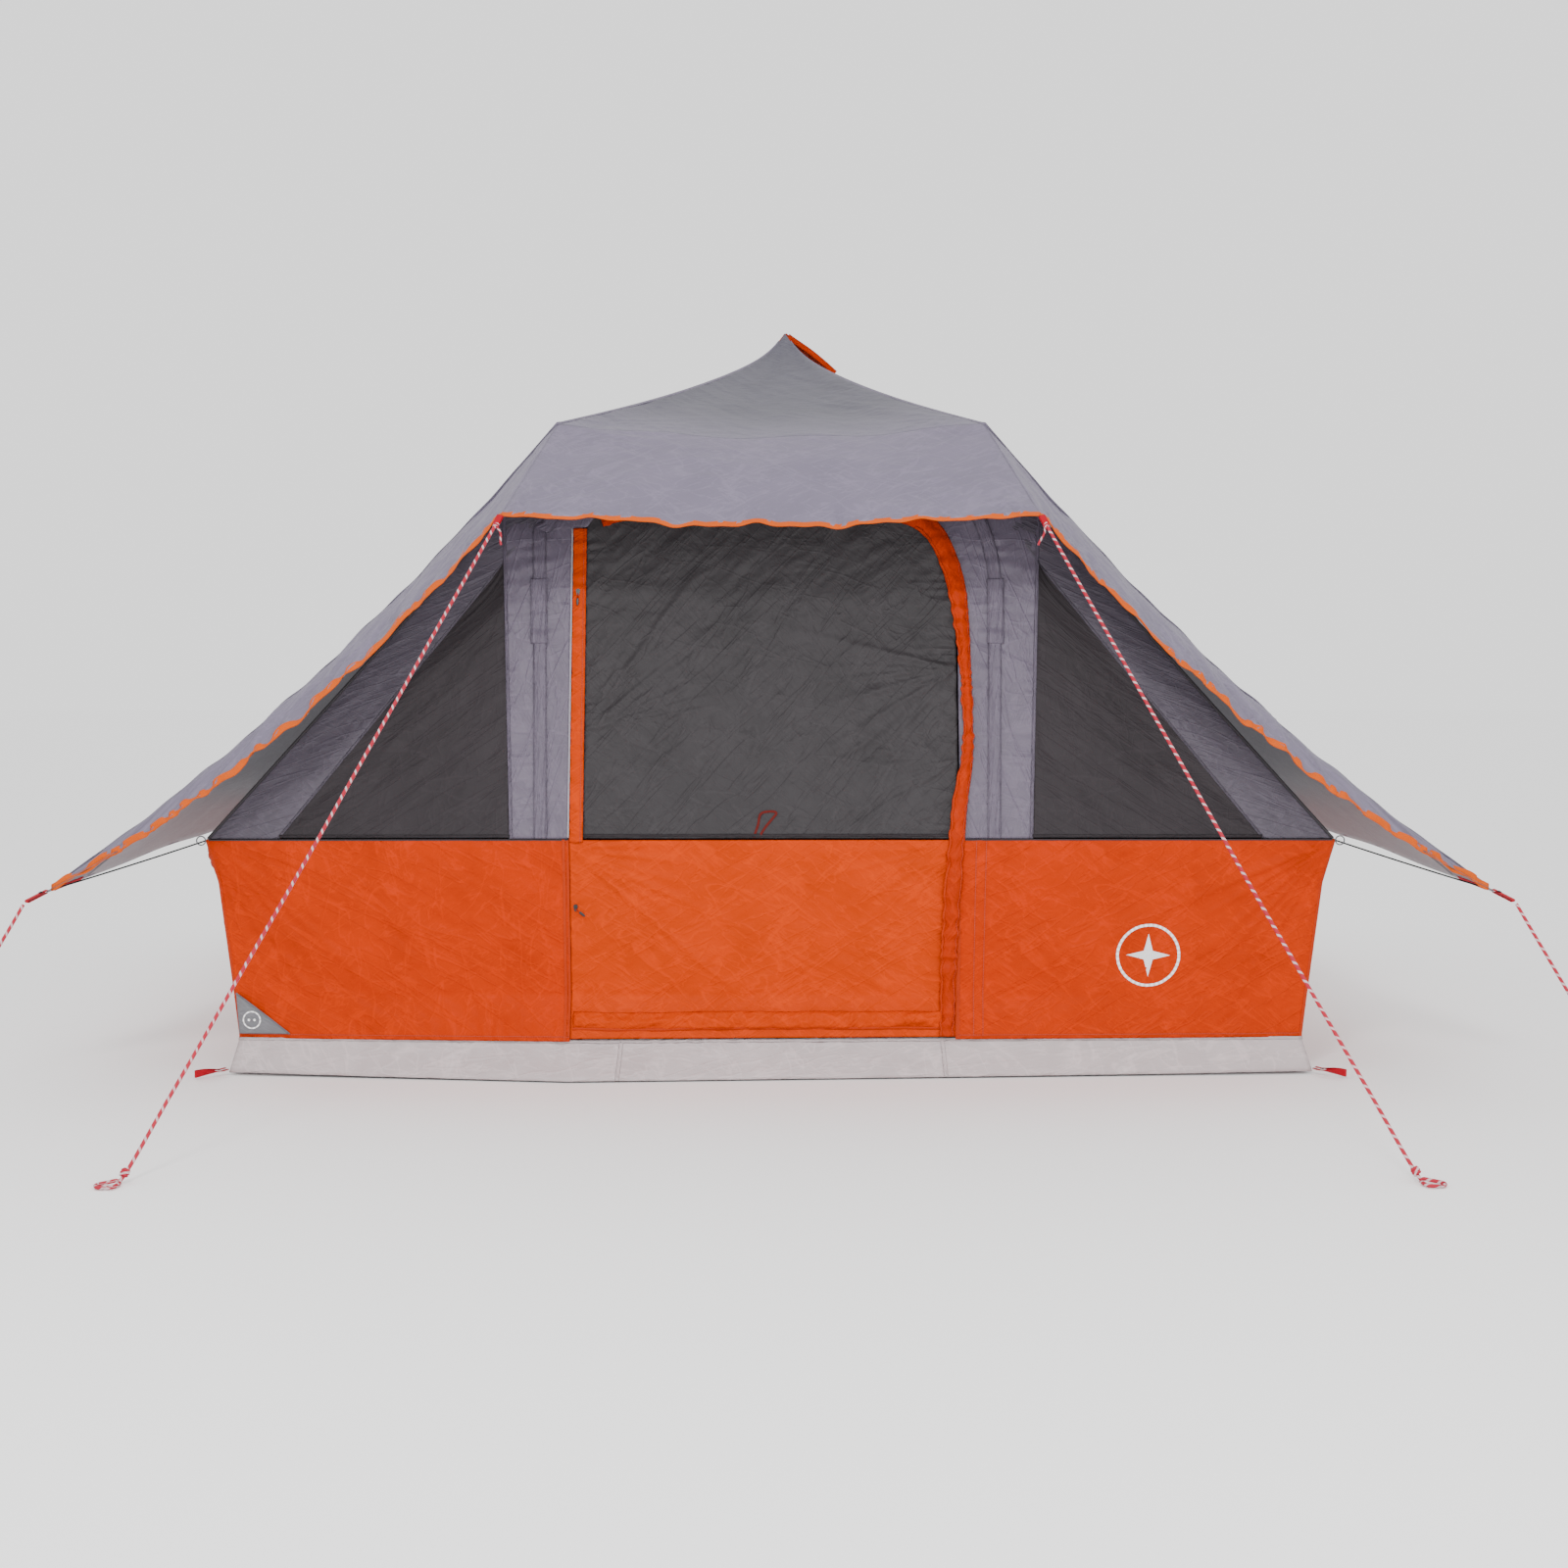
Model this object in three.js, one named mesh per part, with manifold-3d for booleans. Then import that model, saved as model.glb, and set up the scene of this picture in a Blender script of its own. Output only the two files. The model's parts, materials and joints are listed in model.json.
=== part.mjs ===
// A six-person tent with one peak: a sewn inner tent on a tray-shaped groundsheet, a steel centre
// pole, two door poles, and a flysheet whose front is stretched out as a canopy over the door.
// Millimetres. X to the right of someone facing the door, Y towards the back, Z up. The origin is the
// middle of the groundsheet, on the ground.
import * as THREE from "three";
import Module from "manifold-3d";

const wasm = await Module();
wasm.setup();

// ---------------------------------------------------------------- driving dimensions

const CLOTH = 3; // thickness that stands for coated cloth
const SEAM = 6; // how far each cut panel stops short of a seam line
const CORD = 5; // elastic cord, across
const ROPE = 10; // guy rope, across
const WEBBING_WIDTH = 25;

const FLOOR_HALF = 1740; // half the tray's width on the ground
const TRAY_HALF = 1715; // half its width at its rim
const TRAY_TOP = 120;
const WALL_HALF = 1785; // half the width where the upright walls end
const WALL_BOTTOM = 122;
const WALL_TOP = 760;

const PEAK = [55, 0, 2610]; // top of the flysheet, leaning a little to the right as pitched
// Below the peak the roof spreads from a small cone: its radius, mean height and rise to the front.
const COLLAR = [135, 2480, 45];
const SHOULDER = [695, 1520, 2095]; // over a door pole
const CANOPY_CORNER = [830, 1950, 1770];
const TIP = [2215, 2050, 618]; // each of the four pegged-out corners of the flysheet
const HEM_MIDDLE = 1950; // how far out the hem is half way between two tips
const REAR_MIDDLE = 1890; // the same at the back
const HEM_MIDDLE_Z = 750;
const RIDGE_SAG = 100;
const TRIM_SAG = 110;

const INNER_PEAK = [52, 0, 2390];
const INNER_SHOULDER = [700, 1520, 2000];

const DOOR_LEFT = -640;
const DOOR_RIGHT = 594;
const DOOR_GAP = 12; // between the door and the panels round it
const STRIP_RIGHT = -597; // the orange strip up the door's left edge ends here
const DOOR_TOP = 1805;
const HEADER_BOTTOM = 1830;

// ---------------------------------------------------------------- materials

function material(colour, roughness, metalness = 0) {
  return new THREE.MeshStandardMaterial({ color: colour, roughness, metalness });
}

const GREY_FLY = material(0x8f8c98, 0.6);
const ORANGE = material(0xd9591c, 0.55);
const LILAC = material(0x8b8896, 0.6);
const INNER_GREY = material(0x77747f, 0.7);
const DARK_NET = material(0x47454a, 0.8);
const TRAY_GREY = material(0xb9b8b6, 0.55);
const PATCH_GREY = material(0x6f6f72, 0.7);
const STEEL = material(0x9a9da1, 0.35, 0.9);
const RUBBER = material(0x1c1c1d, 0.8);
const BLACK_PLASTIC = material(0x151516, 0.45);
const RED_WEBBING = material(0xc2182b, 0.7);
const PINK_ROPE = material(0xe0707e, 0.8);
const BLACK_CORD = material(0x1a1a1b, 0.8);

const tent = new THREE.Group();

function add(name, geometry, look) {
  const mesh = new THREE.Mesh(geometry, look);
  mesh.name = name;
  tent.add(mesh);
  return mesh;
}

// ---------------------------------------------------------------- vectors

const vec = (p) => new THREE.Vector3(...p);
const lerp = (a, b, t) => a.map((v, i) => v + (b[i] - v) * t);

// A point that is given for the back right, put at another corner by the signs of its X and Y.
const at = (p, sx, sy) => [p[0] * sx, p[1] * sy, p[2]];

// A point on the line from a to b, hanging below it by sag in the middle.
function hung(a, b, t, sag) {
  const p = lerp(a, b, t);
  return [p[0], p[1], p[2] - 4 * sag * t * (1 - t)];
}

function moved(from, towards, distance) {
  const a = vec(from);
  const way = vec(towards).sub(a).normalize();
  return a.addScaledVector(way, distance).toArray();
}

// ---------------------------------------------------------------- sheets of cloth

// A flat panel of cloth. The corners run anticlockwise seen from outside, on its outer face.
function flatPanel(corners, inset = SEAM, thickness = CLOTH) {
  const points = corners.map(vec);
  const normal = new THREE.Vector3();
  points.forEach((p, i) => {
    const next = points[(i + 1) % points.length];
    normal.add(new THREE.Vector3().crossVectors(p, next));
  });
  normal.normalize();
  const u = points[1].clone().sub(points[0]).normalize();
  const v = new THREE.Vector3().crossVectors(normal, u);
  const flat = points.map((p) => {
    const d = p.clone().sub(points[0]);
    return new THREE.Vector2(d.dot(u), d.dot(v));
  });
  const geometry = new THREE.ExtrudeGeometry(new THREE.Shape(insetOutline(flat, inset)), {
    depth: thickness,
    bevelEnabled: false,
  });
  geometry.translate(0, 0, -thickness);
  const place = new THREE.Matrix4().makeBasis(u, v, normal).setPosition(points[0]);
  return geometry.applyMatrix4(place);
}

// Each edge of an anticlockwise outline moved inwards.
function insetOutline(outline, distance) {
  const count = outline.length;
  const edges = outline.map((p, i) => {
    const along = outline[(i + 1) % count].clone().sub(p).normalize();
    const inwards = new THREE.Vector2(-along.y, along.x);
    return { start: p.clone().addScaledVector(inwards, distance), along };
  });
  return edges.map((edge, i) => {
    const before = edges[(i + count - 1) % count];
    const cross = before.along.x * edge.along.y - before.along.y * edge.along.x;
    if (Math.abs(cross) < 1e-6) return edge.start.clone();
    const between = edge.start.clone().sub(before.start);
    const reach = (between.x * edge.along.y - between.y * edge.along.x) / cross;
    return before.start.clone().addScaledVector(before.along, reach);
  });
}

// A folded sheet: its outer face has these triangles, anticlockwise from outside, and its inner face is
// the same face moved by shift.
function foldedSheet(points, triangles, shift) {
  const count = points.length;
  const inner = points.map((p) => p.map((v, i) => v + shift[i]));
  const edges = new Map();
  for (const [a, b, c] of triangles) {
    for (const [p, q] of [[a, b], [b, c], [c, a]]) {
      const back = `${q},${p}`;
      if (edges.has(back)) edges.delete(back);
      else edges.set(`${p},${q}`, [p, q]);
    }
  }
  const faces = triangles.flatMap(([a, b, c]) => [
    [a, b, c],
    [a + count, c + count, b + count],
  ]);
  for (const [p, q] of edges.values()) {
    faces.push([q, p, p + count], [q, p + count, q + count]);
  }
  const geometry = new THREE.BufferGeometry();
  const all = [...points, ...inner].flat();
  geometry.setAttribute("position", new THREE.Float32BufferAttribute(all, 3));
  geometry.setIndex(faces.flat());
  geometry.computeVertexNormals();
  return geometry;
}

// Triangles from the first point to each pair of neighbours on the rim after it.
const fan = (rimCount) => Array.from({ length: rimCount - 1 }, (_, i) => [0, i + 1, i + 2]);

// The same shape with left and right swapped.
function mirrored(geometry) {
  const copy = geometry.index ? geometry.toNonIndexed() : geometry.clone();
  copy.scale(-1, 1, 1);
  const position = copy.getAttribute("position");
  for (let i = 0; i < position.count; i += 3) {
    const a = new THREE.Vector3().fromBufferAttribute(position, i + 1);
    const b = new THREE.Vector3().fromBufferAttribute(position, i + 2);
    position.setXYZ(i + 1, b.x, b.y, b.z);
    position.setXYZ(i + 2, a.x, a.y, a.z);
  }
  copy.computeVertexNormals();
  return copy;
}

// ---------------------------------------------------------------- joining and cutting

function toSolid(geometry) {
  const plain = geometry.index ? geometry.toNonIndexed() : geometry.clone();
  const position = plain.getAttribute("position");
  const mesh = new wasm.Mesh({
    numProp: 3,
    vertProperties: new Float32Array(position.array),
    triVerts: Uint32Array.from({ length: position.count }, (_, i) => i),
  });
  mesh.merge();
  return new wasm.Manifold(mesh);
}

function toGeometry(solid) {
  const mesh = solid.getMesh();
  const geometry = new THREE.BufferGeometry();
  geometry.setAttribute("position", new THREE.BufferAttribute(mesh.vertProperties, 3));
  geometry.setIndex(new THREE.BufferAttribute(mesh.triVerts, 1));
  geometry.computeVertexNormals();
  return geometry;
}

// ---------------------------------------------------------------- groundsheet and walls

// A square block whose sides lean, from one half width at its foot to another at its top.
function leaningBlock(bottomHalf, topHalf, bottom, top) {
  const geometry = new THREE.BoxGeometry(2, 2, top - bottom);
  const position = geometry.getAttribute("position");
  for (let i = 0; i < position.count; i += 1) {
    const high = position.getZ(i) > 0;
    const half = high ? topHalf : bottomHalf;
    position.setXYZ(i, position.getX(i) * half, position.getY(i) * half, high ? top : bottom);
  }
  return geometry;
}

function groundsheet() {
  const lean = (FLOOR_HALF - TRAY_HALF) / TRAY_TOP;
  const above = 20;
  const outside = toSolid(leaningBlock(FLOOR_HALF, TRAY_HALF, 0, TRAY_TOP));
  const hollow = toSolid(
    leaningBlock(
      FLOOR_HALF - CLOTH - lean * CLOTH,
      TRAY_HALF - CLOTH - lean * above,
      CLOTH,
      TRAY_TOP + above,
    ),
  );
  return toGeometry(outside.subtract(hollow));
}

// How far in front of the middle the front wall is at a height: it leans out up to WALL_TOP and then
// back in towards the shoulders.
function frontDepth(z) {
  if (z <= WALL_TOP) {
    return TRAY_HALF + ((WALL_HALF - TRAY_HALF) * (z - WALL_BOTTOM)) / (WALL_TOP - WALL_BOTTOM);
  }
  const rise = (z - WALL_TOP) / (INNER_SHOULDER[2] - WALL_TOP);
  return WALL_HALF + (INNER_SHOULDER[1] - WALL_HALF) * rise;
}

// An outline of [x, z] pairs, anticlockwise as seen from in front, as a panel of the front wall that
// stands proud of it.
function frontPanel(outline, inset = 0, proud = 0, thickness = CLOTH) {
  return flatPanel(
    outline.map(([x, z]) => [x, -frontDepth(z) - proud, z]),
    inset,
    thickness,
  );
}

function lowerWalls() {
  const wall = [
    [-TRAY_HALF, -TRAY_HALF, WALL_BOTTOM],
    [TRAY_HALF, -TRAY_HALF, WALL_BOTTOM],
    [WALL_HALF, -WALL_HALF, WALL_TOP],
    [-WALL_HALF, -WALL_HALF, WALL_TOP],
  ];
  const quarter = Math.PI / 2;
  add("lower_wall_right", flatPanel(wall).rotateZ(quarter), ORANGE);
  add("lower_wall_rear", flatPanel(wall).rotateZ(2 * quarter), ORANGE);
  add("lower_wall_left", flatPanel(wall).rotateZ(3 * quarter), ORANGE);
  const beside = (edge, corner) => [
    [corner * TRAY_HALF, WALL_BOTTOM],
    [edge, WALL_BOTTOM],
    [edge, WALL_TOP],
    [corner * WALL_HALF, WALL_TOP],
  ];
  const left = beside(DOOR_LEFT - DOOR_GAP + SEAM, -1);
  const right = beside(DOOR_RIGHT + DOOR_GAP - SEAM, 1).reverse();
  add("lower_wall_front_left", frontPanel(left, SEAM), ORANGE);
  add("lower_wall_front_right", frontPanel(right, SEAM), ORANGE);
}

// The net windows beside the door, and the panels that frame them.
const WINDOW = {
  doorSide: 826,
  doorSideTop: 859,
  farSide: 1560,
  bottom: WALL_TOP + 18,
  top: 1650,
};

function upperFront() {
  const above = WALL_TOP + 2;
  const seamAt = (z) => {
    const rise = (z - WALL_TOP) / (INNER_SHOULDER[2] - WALL_TOP);
    return WALL_HALF + (INNER_SHOULDER[0] - WALL_HALF) * rise;
  };
  const window = [
    [-WINDOW.farSide, WINDOW.bottom],
    [-WINDOW.doorSide, WINDOW.bottom],
    [-WINDOW.doorSideTop, WINDOW.top],
  ];
  add("front_window_left", frontPanel(window, 2), DARK_NET);
  add("front_window_right", mirrored(frontPanel(window, 2)), DARK_NET);

  // The left panel runs from the seam with the side wall, round the window, to the door.
  const round = (doorEdge) => [
    [-seamAt(above), above],
    [-WINDOW.farSide - 20, above],
    [-WINDOW.farSide - 20, WINDOW.bottom],
    [-WINDOW.doorSideTop, WINDOW.top + 24],
    [-WINDOW.doorSide + 6, WINDOW.bottom],
    [-WINDOW.doorSide + 6, above],
    [doorEdge, above],
    [doorEdge, INNER_SHOULDER[2]],
    [-INNER_SHOULDER[0], INNER_SHOULDER[2]],
  ];
  add("front_panel_left", frontPanel(round(DOOR_LEFT - DOOR_GAP + SEAM), SEAM), LILAC);
  add("front_panel_right", mirrored(frontPanel(round(-DOOR_RIGHT - DOOR_GAP + SEAM), SEAM)), LILAC);
  const header = [
    [DOOR_LEFT, HEADER_BOTTOM],
    [DOOR_RIGHT, HEADER_BOTTOM],
    [DOOR_RIGHT, INNER_SHOULDER[2]],
    [DOOR_LEFT, INNER_SHOULDER[2]],
  ];
  add("door_header", frontPanel(header, SEAM), LILAC);
}

function upperRest() {
  const inset = 20;
  const peak = INNER_PEAK;
  const shoulder = at(INNER_SHOULDER, -1, -1);
  const corner = (sx, sy) => [WALL_HALF * sx, WALL_HALF * sy, WALL_TOP + 2];
  const roof = [shoulder, at(INNER_SHOULDER, 1, -1), peak];
  add("inner_roof_front", flatPanel(roof, inset), INNER_GREY);
  add("upper_wall_rear", flatPanel([corner(1, 1), corner(-1, 1), peak], inset), INNER_GREY);
  for (const [name, side] of [["upper_wall_left", -1], ["upper_wall_right", 1]]) {
    const points = [peak, at(INNER_SHOULDER, side, -1), corner(side, -1), corner(side, 1)];
    const middle = [side * 1100, 0, 1400];
    const drawn = points.map((p) => moved(p, middle, 30));
    const faces = side > 0 ? fan(3) : fan(3).map(([a, b, c]) => [a, c, b]);
    add(name, foldedSheet(drawn, faces, [-side * 2.2, 0, -2.2]), INNER_GREY);
  }
}

// ---------------------------------------------------------------- door

function door() {
  const right = DOOR_RIGHT;
  const lower = [
    [DOOR_LEFT, WALL_BOTTOM + 6],
    [right, WALL_BOTTOM + 6],
    [right, WALL_TOP - 2],
    [DOOR_LEFT, WALL_TOP - 2],
  ];
  add("door_lower_panel", frontPanel(lower), ORANGE);
  const upper = [
    [STRIP_RIGHT + 2, WALL_TOP + 2],
    [right, WALL_TOP + 2],
    [right, 1560],
    [550, 1700],
    [475, DOOR_TOP],
    [-300, DOOR_TOP],
    [STRIP_RIGHT + 2, 1760],
  ];
  add("door_window_panel", frontPanel(upper), DARK_NET);
  const strip = [
    [DOOR_LEFT, WALL_TOP + 2],
    [STRIP_RIGHT, WALL_TOP + 2],
    [STRIP_RIGHT, 1756],
    [DOOR_LEFT, 1752],
  ];
  add("door_edge_strip", frontPanel(strip), ORANGE);
}

// The rain flap that covers the zip, in front of the wall: up the right side of the door and over it.
// It is folded where the wall is.
function zipFlap() {
  const proud = 8;
  const lower = [
    [538, WALL_BOTTOM + 4],
    [586, WALL_BOTTOM + 4],
    [598, 500],
    [613, WALL_TOP],
    [563, WALL_TOP],
    [544, 500],
  ];
  const outer = [
    [563, WALL_TOP],
    [613, WALL_TOP],
    [625, 890],
    [640, 1060],
    [645, 1300],
    [640, 1450],
    [629, 1560],
    [604, 1660],
    [560, 1760],
    [470, 1822],
    [300, 1836],
    [-400, 1834],
    [-540, 1792],
  ];
  const inner = [
    [-532, 1764],
    [-400, 1789],
    [300, 1788],
    [405, 1765],
    [470, 1705],
    [520, 1630],
    [559, 1560],
    [583, 1450],
    [600, 1300],
    [612, 1150],
    [614, 1060],
    [603, 980],
    [580, 890],
  ];
  const parts = [lower, [...outer, ...inner]].map((o) => toSolid(frontPanel(o, 0, proud, 2)));
  add("door_zip_flap", toGeometry(parts[0].add(parts[1])), ORANGE);
}

// A slider on the door's left edge, and the pull that hangs from it.
function zipper(name, z, pullTilt) {
  const x = (DOOR_LEFT + STRIP_RIGHT) / 2 - 4;
  const tilt = Math.atan2(frontDepth(z - 20) - frontDepth(z + 20), 40);
  const outline = new THREE.Shape();
  outline.moveTo(-3.5, -11);
  outline.lineTo(3.5, -11);
  outline.lineTo(7, 4);
  outline.quadraticCurveTo(7, 11, 0, 11);
  outline.quadraticCurveTo(-7, 11, -7, 4);
  const slider = new THREE.ExtrudeGeometry(outline, {
    depth: 6,
    bevelEnabled: false,
    curveSegments: 4,
  });
  slider.rotateX(Math.PI / 2 - tilt);
  const front = -frontDepth(z) - 1.5;
  slider.translate(x, front, z);
  add(`${name}_slider`, slider, BLACK_PLASTIC);

  const tab = new THREE.Shape();
  tab.moveTo(-4, 0);
  tab.lineTo(-5, -36);
  tab.quadraticCurveTo(-5, -42, 0, -42);
  tab.quadraticCurveTo(5, -42, 5, -36);
  tab.lineTo(4, 0);
  const pull = new THREE.ExtrudeGeometry(tab, { depth: 2.4, bevelEnabled: false, curveSegments: 4 });
  pull.rotateX(Math.PI / 2 - pullTilt);
  pull.translate(x, front - 8.5, z - 2);
  add(`${name}_pull`, pull, BLACK_PLASTIC);
}

// The grey flap over the cable inlet, in the front left corner of the wall.
function cablePort() {
  const outline = [
    [-1706, 130],
    [-1543, 130],
    [-1712, 264],
  ];
  add("cable_port_flap", frontPanel(outline, 0, 6), PATCH_GREY);
}

// ---------------------------------------------------------------- poles

const SIDES = 16;
const WALL = 0.8;
const SWAGE = 60; // how far the narrowed foot of a section goes into the one below

// A pole section standing on Z = 0: a tube whose narrowed foot, if it has one, reaches below that.
function section(radius, length, footed) {
  const inside = radius - WALL;
  const narrow = inside - 0.8;
  const foot = footed
    ? [
        [narrow - WALL, -SWAGE],
        [narrow, -SWAGE],
        [narrow, 0],
      ]
    : [];
  const innerFoot = footed
    ? [
        [inside, 6],
        [narrow - WALL, 0],
      ]
    : [[inside, 0]];
  const profile = [...foot, [radius, 0], [radius, length], [inside, length], ...innerFoot];
  profile.push(profile[0]);
  return new THREE.LatheGeometry(profile.map(([r, h]) => new THREE.Vector2(r, h)), SIDES).rotateX(
    Math.PI / 2,
  );
}

function turned(profile) {
  const points = profile.map(([r, h]) => new THREE.Vector2(r, h));
  return new THREE.LatheGeometry(points, SIDES).rotateX(Math.PI / 2);
}

// Puts a shape made along Z at the foot of the line from a to b.
function alongLine(geometry, a, b, distance) {
  const way = vec(b).sub(vec(a)).normalize();
  const turn = new THREE.Quaternion().setFromUnitVectors(new THREE.Vector3(0, 0, 1), way);
  geometry.applyQuaternion(turn);
  const start = vec(a).addScaledVector(way, distance);
  return geometry.translate(start.x, start.y, start.z);
}

function centrePole() {
  const foot = [0, 0, CLOTH + 1.5];
  const top = [PEAK[0], PEAK[1], PEAK[2] - 12];
  const radius = 11;
  const length = 845;
  const standing = 6;
  const names = ["centre_pole_lower", "centre_pole_middle", "centre_pole_upper"];
  names.forEach((name, i) => {
    const tube = section(radius, length, i > 0);
    add(name, alongLine(tube, foot, top, standing + i * (length + 0.4)), STEEL);
  });
  const cup = [
    [0, 0],
    [24, 0],
    [22, 20],
    [radius + 0.6, 20],
    [radius + 0.6, 5],
    [0, 5],
  ];
  add("centre_pole_foot", alongLine(turned(cup), foot, top, 0), RUBBER);
  const end = standing + 3 * (length + 0.4);
  const spigot = 4.5;
  const room = vec(top).distanceTo(vec(foot)) - end;
  const cap = [
    [0, -40],
    [radius - WALL - 0.6, -40],
    [radius - WALL - 0.6, 0],
    [spigot + 1, 0],
    [spigot, room - 12],
    [spigot + 3, room - 8],
    [spigot + 2, room - 1],
    [0, room],
  ];
  add("centre_pole_cap", alongLine(turned(cap), foot, top, end), BLACK_PLASTIC);
}

// A door pole stands inside the front wall and reaches the flysheet through the inner's shoulder.
function doorPole(side, sx) {
  const foot = [sx * 690, -1630, CLOTH + 1.2];
  const top = [sx * INNER_SHOULDER[0], 10 - INNER_SHOULDER[1], INNER_SHOULDER[2]];
  const radius = 9.5;
  const length = 970;
  const lower = section(radius, length, false);
  add(`door_pole_${side}_lower`, alongLine(lower, foot, top, 0), STEEL);
  const whole = vec(top).distanceTo(vec(foot));
  const start = length + 0.4;
  const inside = radius - WALL - 0.8;
  const pin = 4;
  const tube = whole - start - 60;
  const profile = [
    [0, -SWAGE],
    [inside, -SWAGE],
    [inside, 0],
    [radius, 0],
    [radius, tube],
    [pin, tube + 6],
    [pin, tube + 60 + 56],
    [pin - 2, tube + 60 + 60],
    [0, tube + 60 + 60],
  ];
  add(`door_pole_${side}_upper`, alongLine(turned(profile), foot, top, start), STEEL);
}

// ---------------------------------------------------------------- flysheet

const tip = (sx, sy) => at(TIP, sx, sy);
const shoulder = (sx) => at(SHOULDER, sx, -1);
const canopyCorner = (sx) => at(CANOPY_CORNER, sx, -1);
const ridge = (sx, t) => hung(shoulder(sx), tip(sx, -1), t, RIDGE_SAG);
const trim = (sx, t) => hung(canopyCorner(sx), tip(sx, -1), t, TRIM_SAG);

// A point on the collar round the peak, at an angle from +X, anticlockwise from above.
function collar(degrees) {
  const angle = (degrees * Math.PI) / 180;
  const [radius, height, rise] = COLLAR;
  const side = Math.sin(angle);
  return [PEAK[0] + radius * Math.cos(angle), PEAK[1] + radius * side, height - rise * side];
}

// The hem between two tips curves in and up towards its middle; s runs from -1 to 1.
function hemOut(s) {
  return HEM_MIDDLE + (TIP[0] - HEM_MIDDLE) * s * s;
}

const hemHeight = (s) => HEM_MIDDLE_Z + (TIP[2] - HEM_MIDDLE_Z) * s * s;
const HEM_STEPS = [-1, -0.7, -0.35, 0, 0.35, 0.7, 1];

function flysheet() {
  const ring = [0, 1, 2, 3, 4, 5, 6, 7].map((i) => collar(i * 45));
  const around = ring.map((_, i) => [0, i + 1, ((i + 1) % 8) + 1]);
  const roofCorners = [-1, 1].map((sx) => moved(shoulder(sx), [PEAK[0], -1000, 2200], 18));
  const [frontLeft, front, frontRight, left, right] = [6, 7, 8, 9, 10];
  const roof = [
    [left, right, front],
    [left, front, frontLeft],
    [front, right, frontRight],
  ];
  const roofPoints = [PEAK, ...ring, ...roofCorners];
  add("fly_roof_front", foldedSheet(roofPoints, [...around, ...roof], [0, 0, -3]), GREY_FLY);
  const canopy = [canopyCorner(-1), canopyCorner(1), shoulder(1), shoulder(-1)];
  add("fly_canopy", flatPanel(canopy), GREY_FLY);

  const below = 16;
  for (const [name, sx] of [["left", -1], ["right", 1]]) {
    const toFront = moved(collar(270 + 45 * sx), [sx * 1500, -600, 1500], below);
    const toRear = moved(collar(90 - 45 * sx), [sx * 1500, 600, 1500], below);
    const down = [0, 1 / 3, 2 / 3].map((t) => ridge(sx, t));
    const hem = HEM_STEPS.map((s) => [sx * hemOut(s), s * TIP[1], hemHeight(s)]);
    const points = [toFront, ...down, ...hem, toRear];
    const faces = fan(points.length - 1);
    const outward = sx > 0 ? faces : faces.map(([a, b, c]) => [a, c, b]);
    add(`fly_side_${name}`, foldedSheet(points, outward, [-sx * 2.2, 0, -2.2]), GREY_FLY);
  }

  const wing = (sx) => {
    const steps = [0, 0.25, 0.5, 0.75, 0.93];
    const upper = steps.map((t) => moved(ridge(sx, t), trim(sx, t), 12));
    const lower = steps.map((t) => trim(sx, t));
    const count = steps.length;
    const faces = [];
    for (let i = 0; i < count - 1; i += 1) {
      faces.push([i, i + 1, i + count], [i + 1, i + 1 + count, i + count]);
    }
    const outward = sx < 0 ? faces : faces.map(([a, b, c]) => [a, c, b]);
    return foldedSheet([...upper, ...lower], outward, [0, 1.6, -2.6]);
  };
  add("fly_wing_left", wing(-1), GREY_FLY);
  add("fly_wing_right", wing(1), GREY_FLY);

  const rearOut = (s) => REAR_MIDDLE + (TIP[1] - REAR_MIDDLE) * s * s;
  const rearHem = [...HEM_STEPS].reverse().map((s) => [s * TIP[0], rearOut(s), hemHeight(s)]);
  const middle = [0, 1000, 1500];
  const rear = [collar(45), ...rearHem, collar(135)].map((p) => moved(p, middle, 30));
  add("fly_rear", foldedSheet(rear, fan(rear.length - 1), [0, -2.2, -2.2]), GREY_FLY);
}

// The orange hood over the vent behind the peak, and the stay that props it.
const HOOD = { apex: [55, 12, 2632], halfWidth: 205, rimY: 40, rimZ: 2492, rearY: 330, rearZ: 2400 };

function vent() {
  const [x, , ] = HOOD.apex;
  const rim = [
    [x + HOOD.halfWidth, HOOD.rimY, HOOD.rimZ],
    [x + 165, 260, 2450],
    [x, HOOD.rearY, HOOD.rearZ],
    [x - 165, 260, 2450],
    [x - HOOD.halfWidth, HOOD.rimY, HOOD.rimZ],
  ];
  add("vent_hood", foldedSheet([HOOD.apex, ...rim], fan(rim.length), [0, -0.8, -2.4]), ORANGE);
  const stay = new THREE.BoxGeometry(16, 3, 76);
  stay.translate(x, 200, 2488.5 - 38);
  add("vent_prop", stay, BLACK_PLASTIC);
}

// ---------------------------------------------------------------- loops, cords and guy ropes

// Webbing from a towards b: a flat strap with its width level.
function strap(a, b, length, width = WEBBING_WIDTH) {
  const box = new THREE.BoxGeometry(length, width, 2.4).translate(length / 2, 0, 0);
  const along = vec(b).sub(vec(a)).normalize();
  const across = new THREE.Vector3(0, 0, 1).cross(along).normalize();
  const up = new THREE.Vector3().crossVectors(along, across);
  return box.applyMatrix4(new THREE.Matrix4().makeBasis(along, across, up).setPosition(vec(a)));
}

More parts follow.
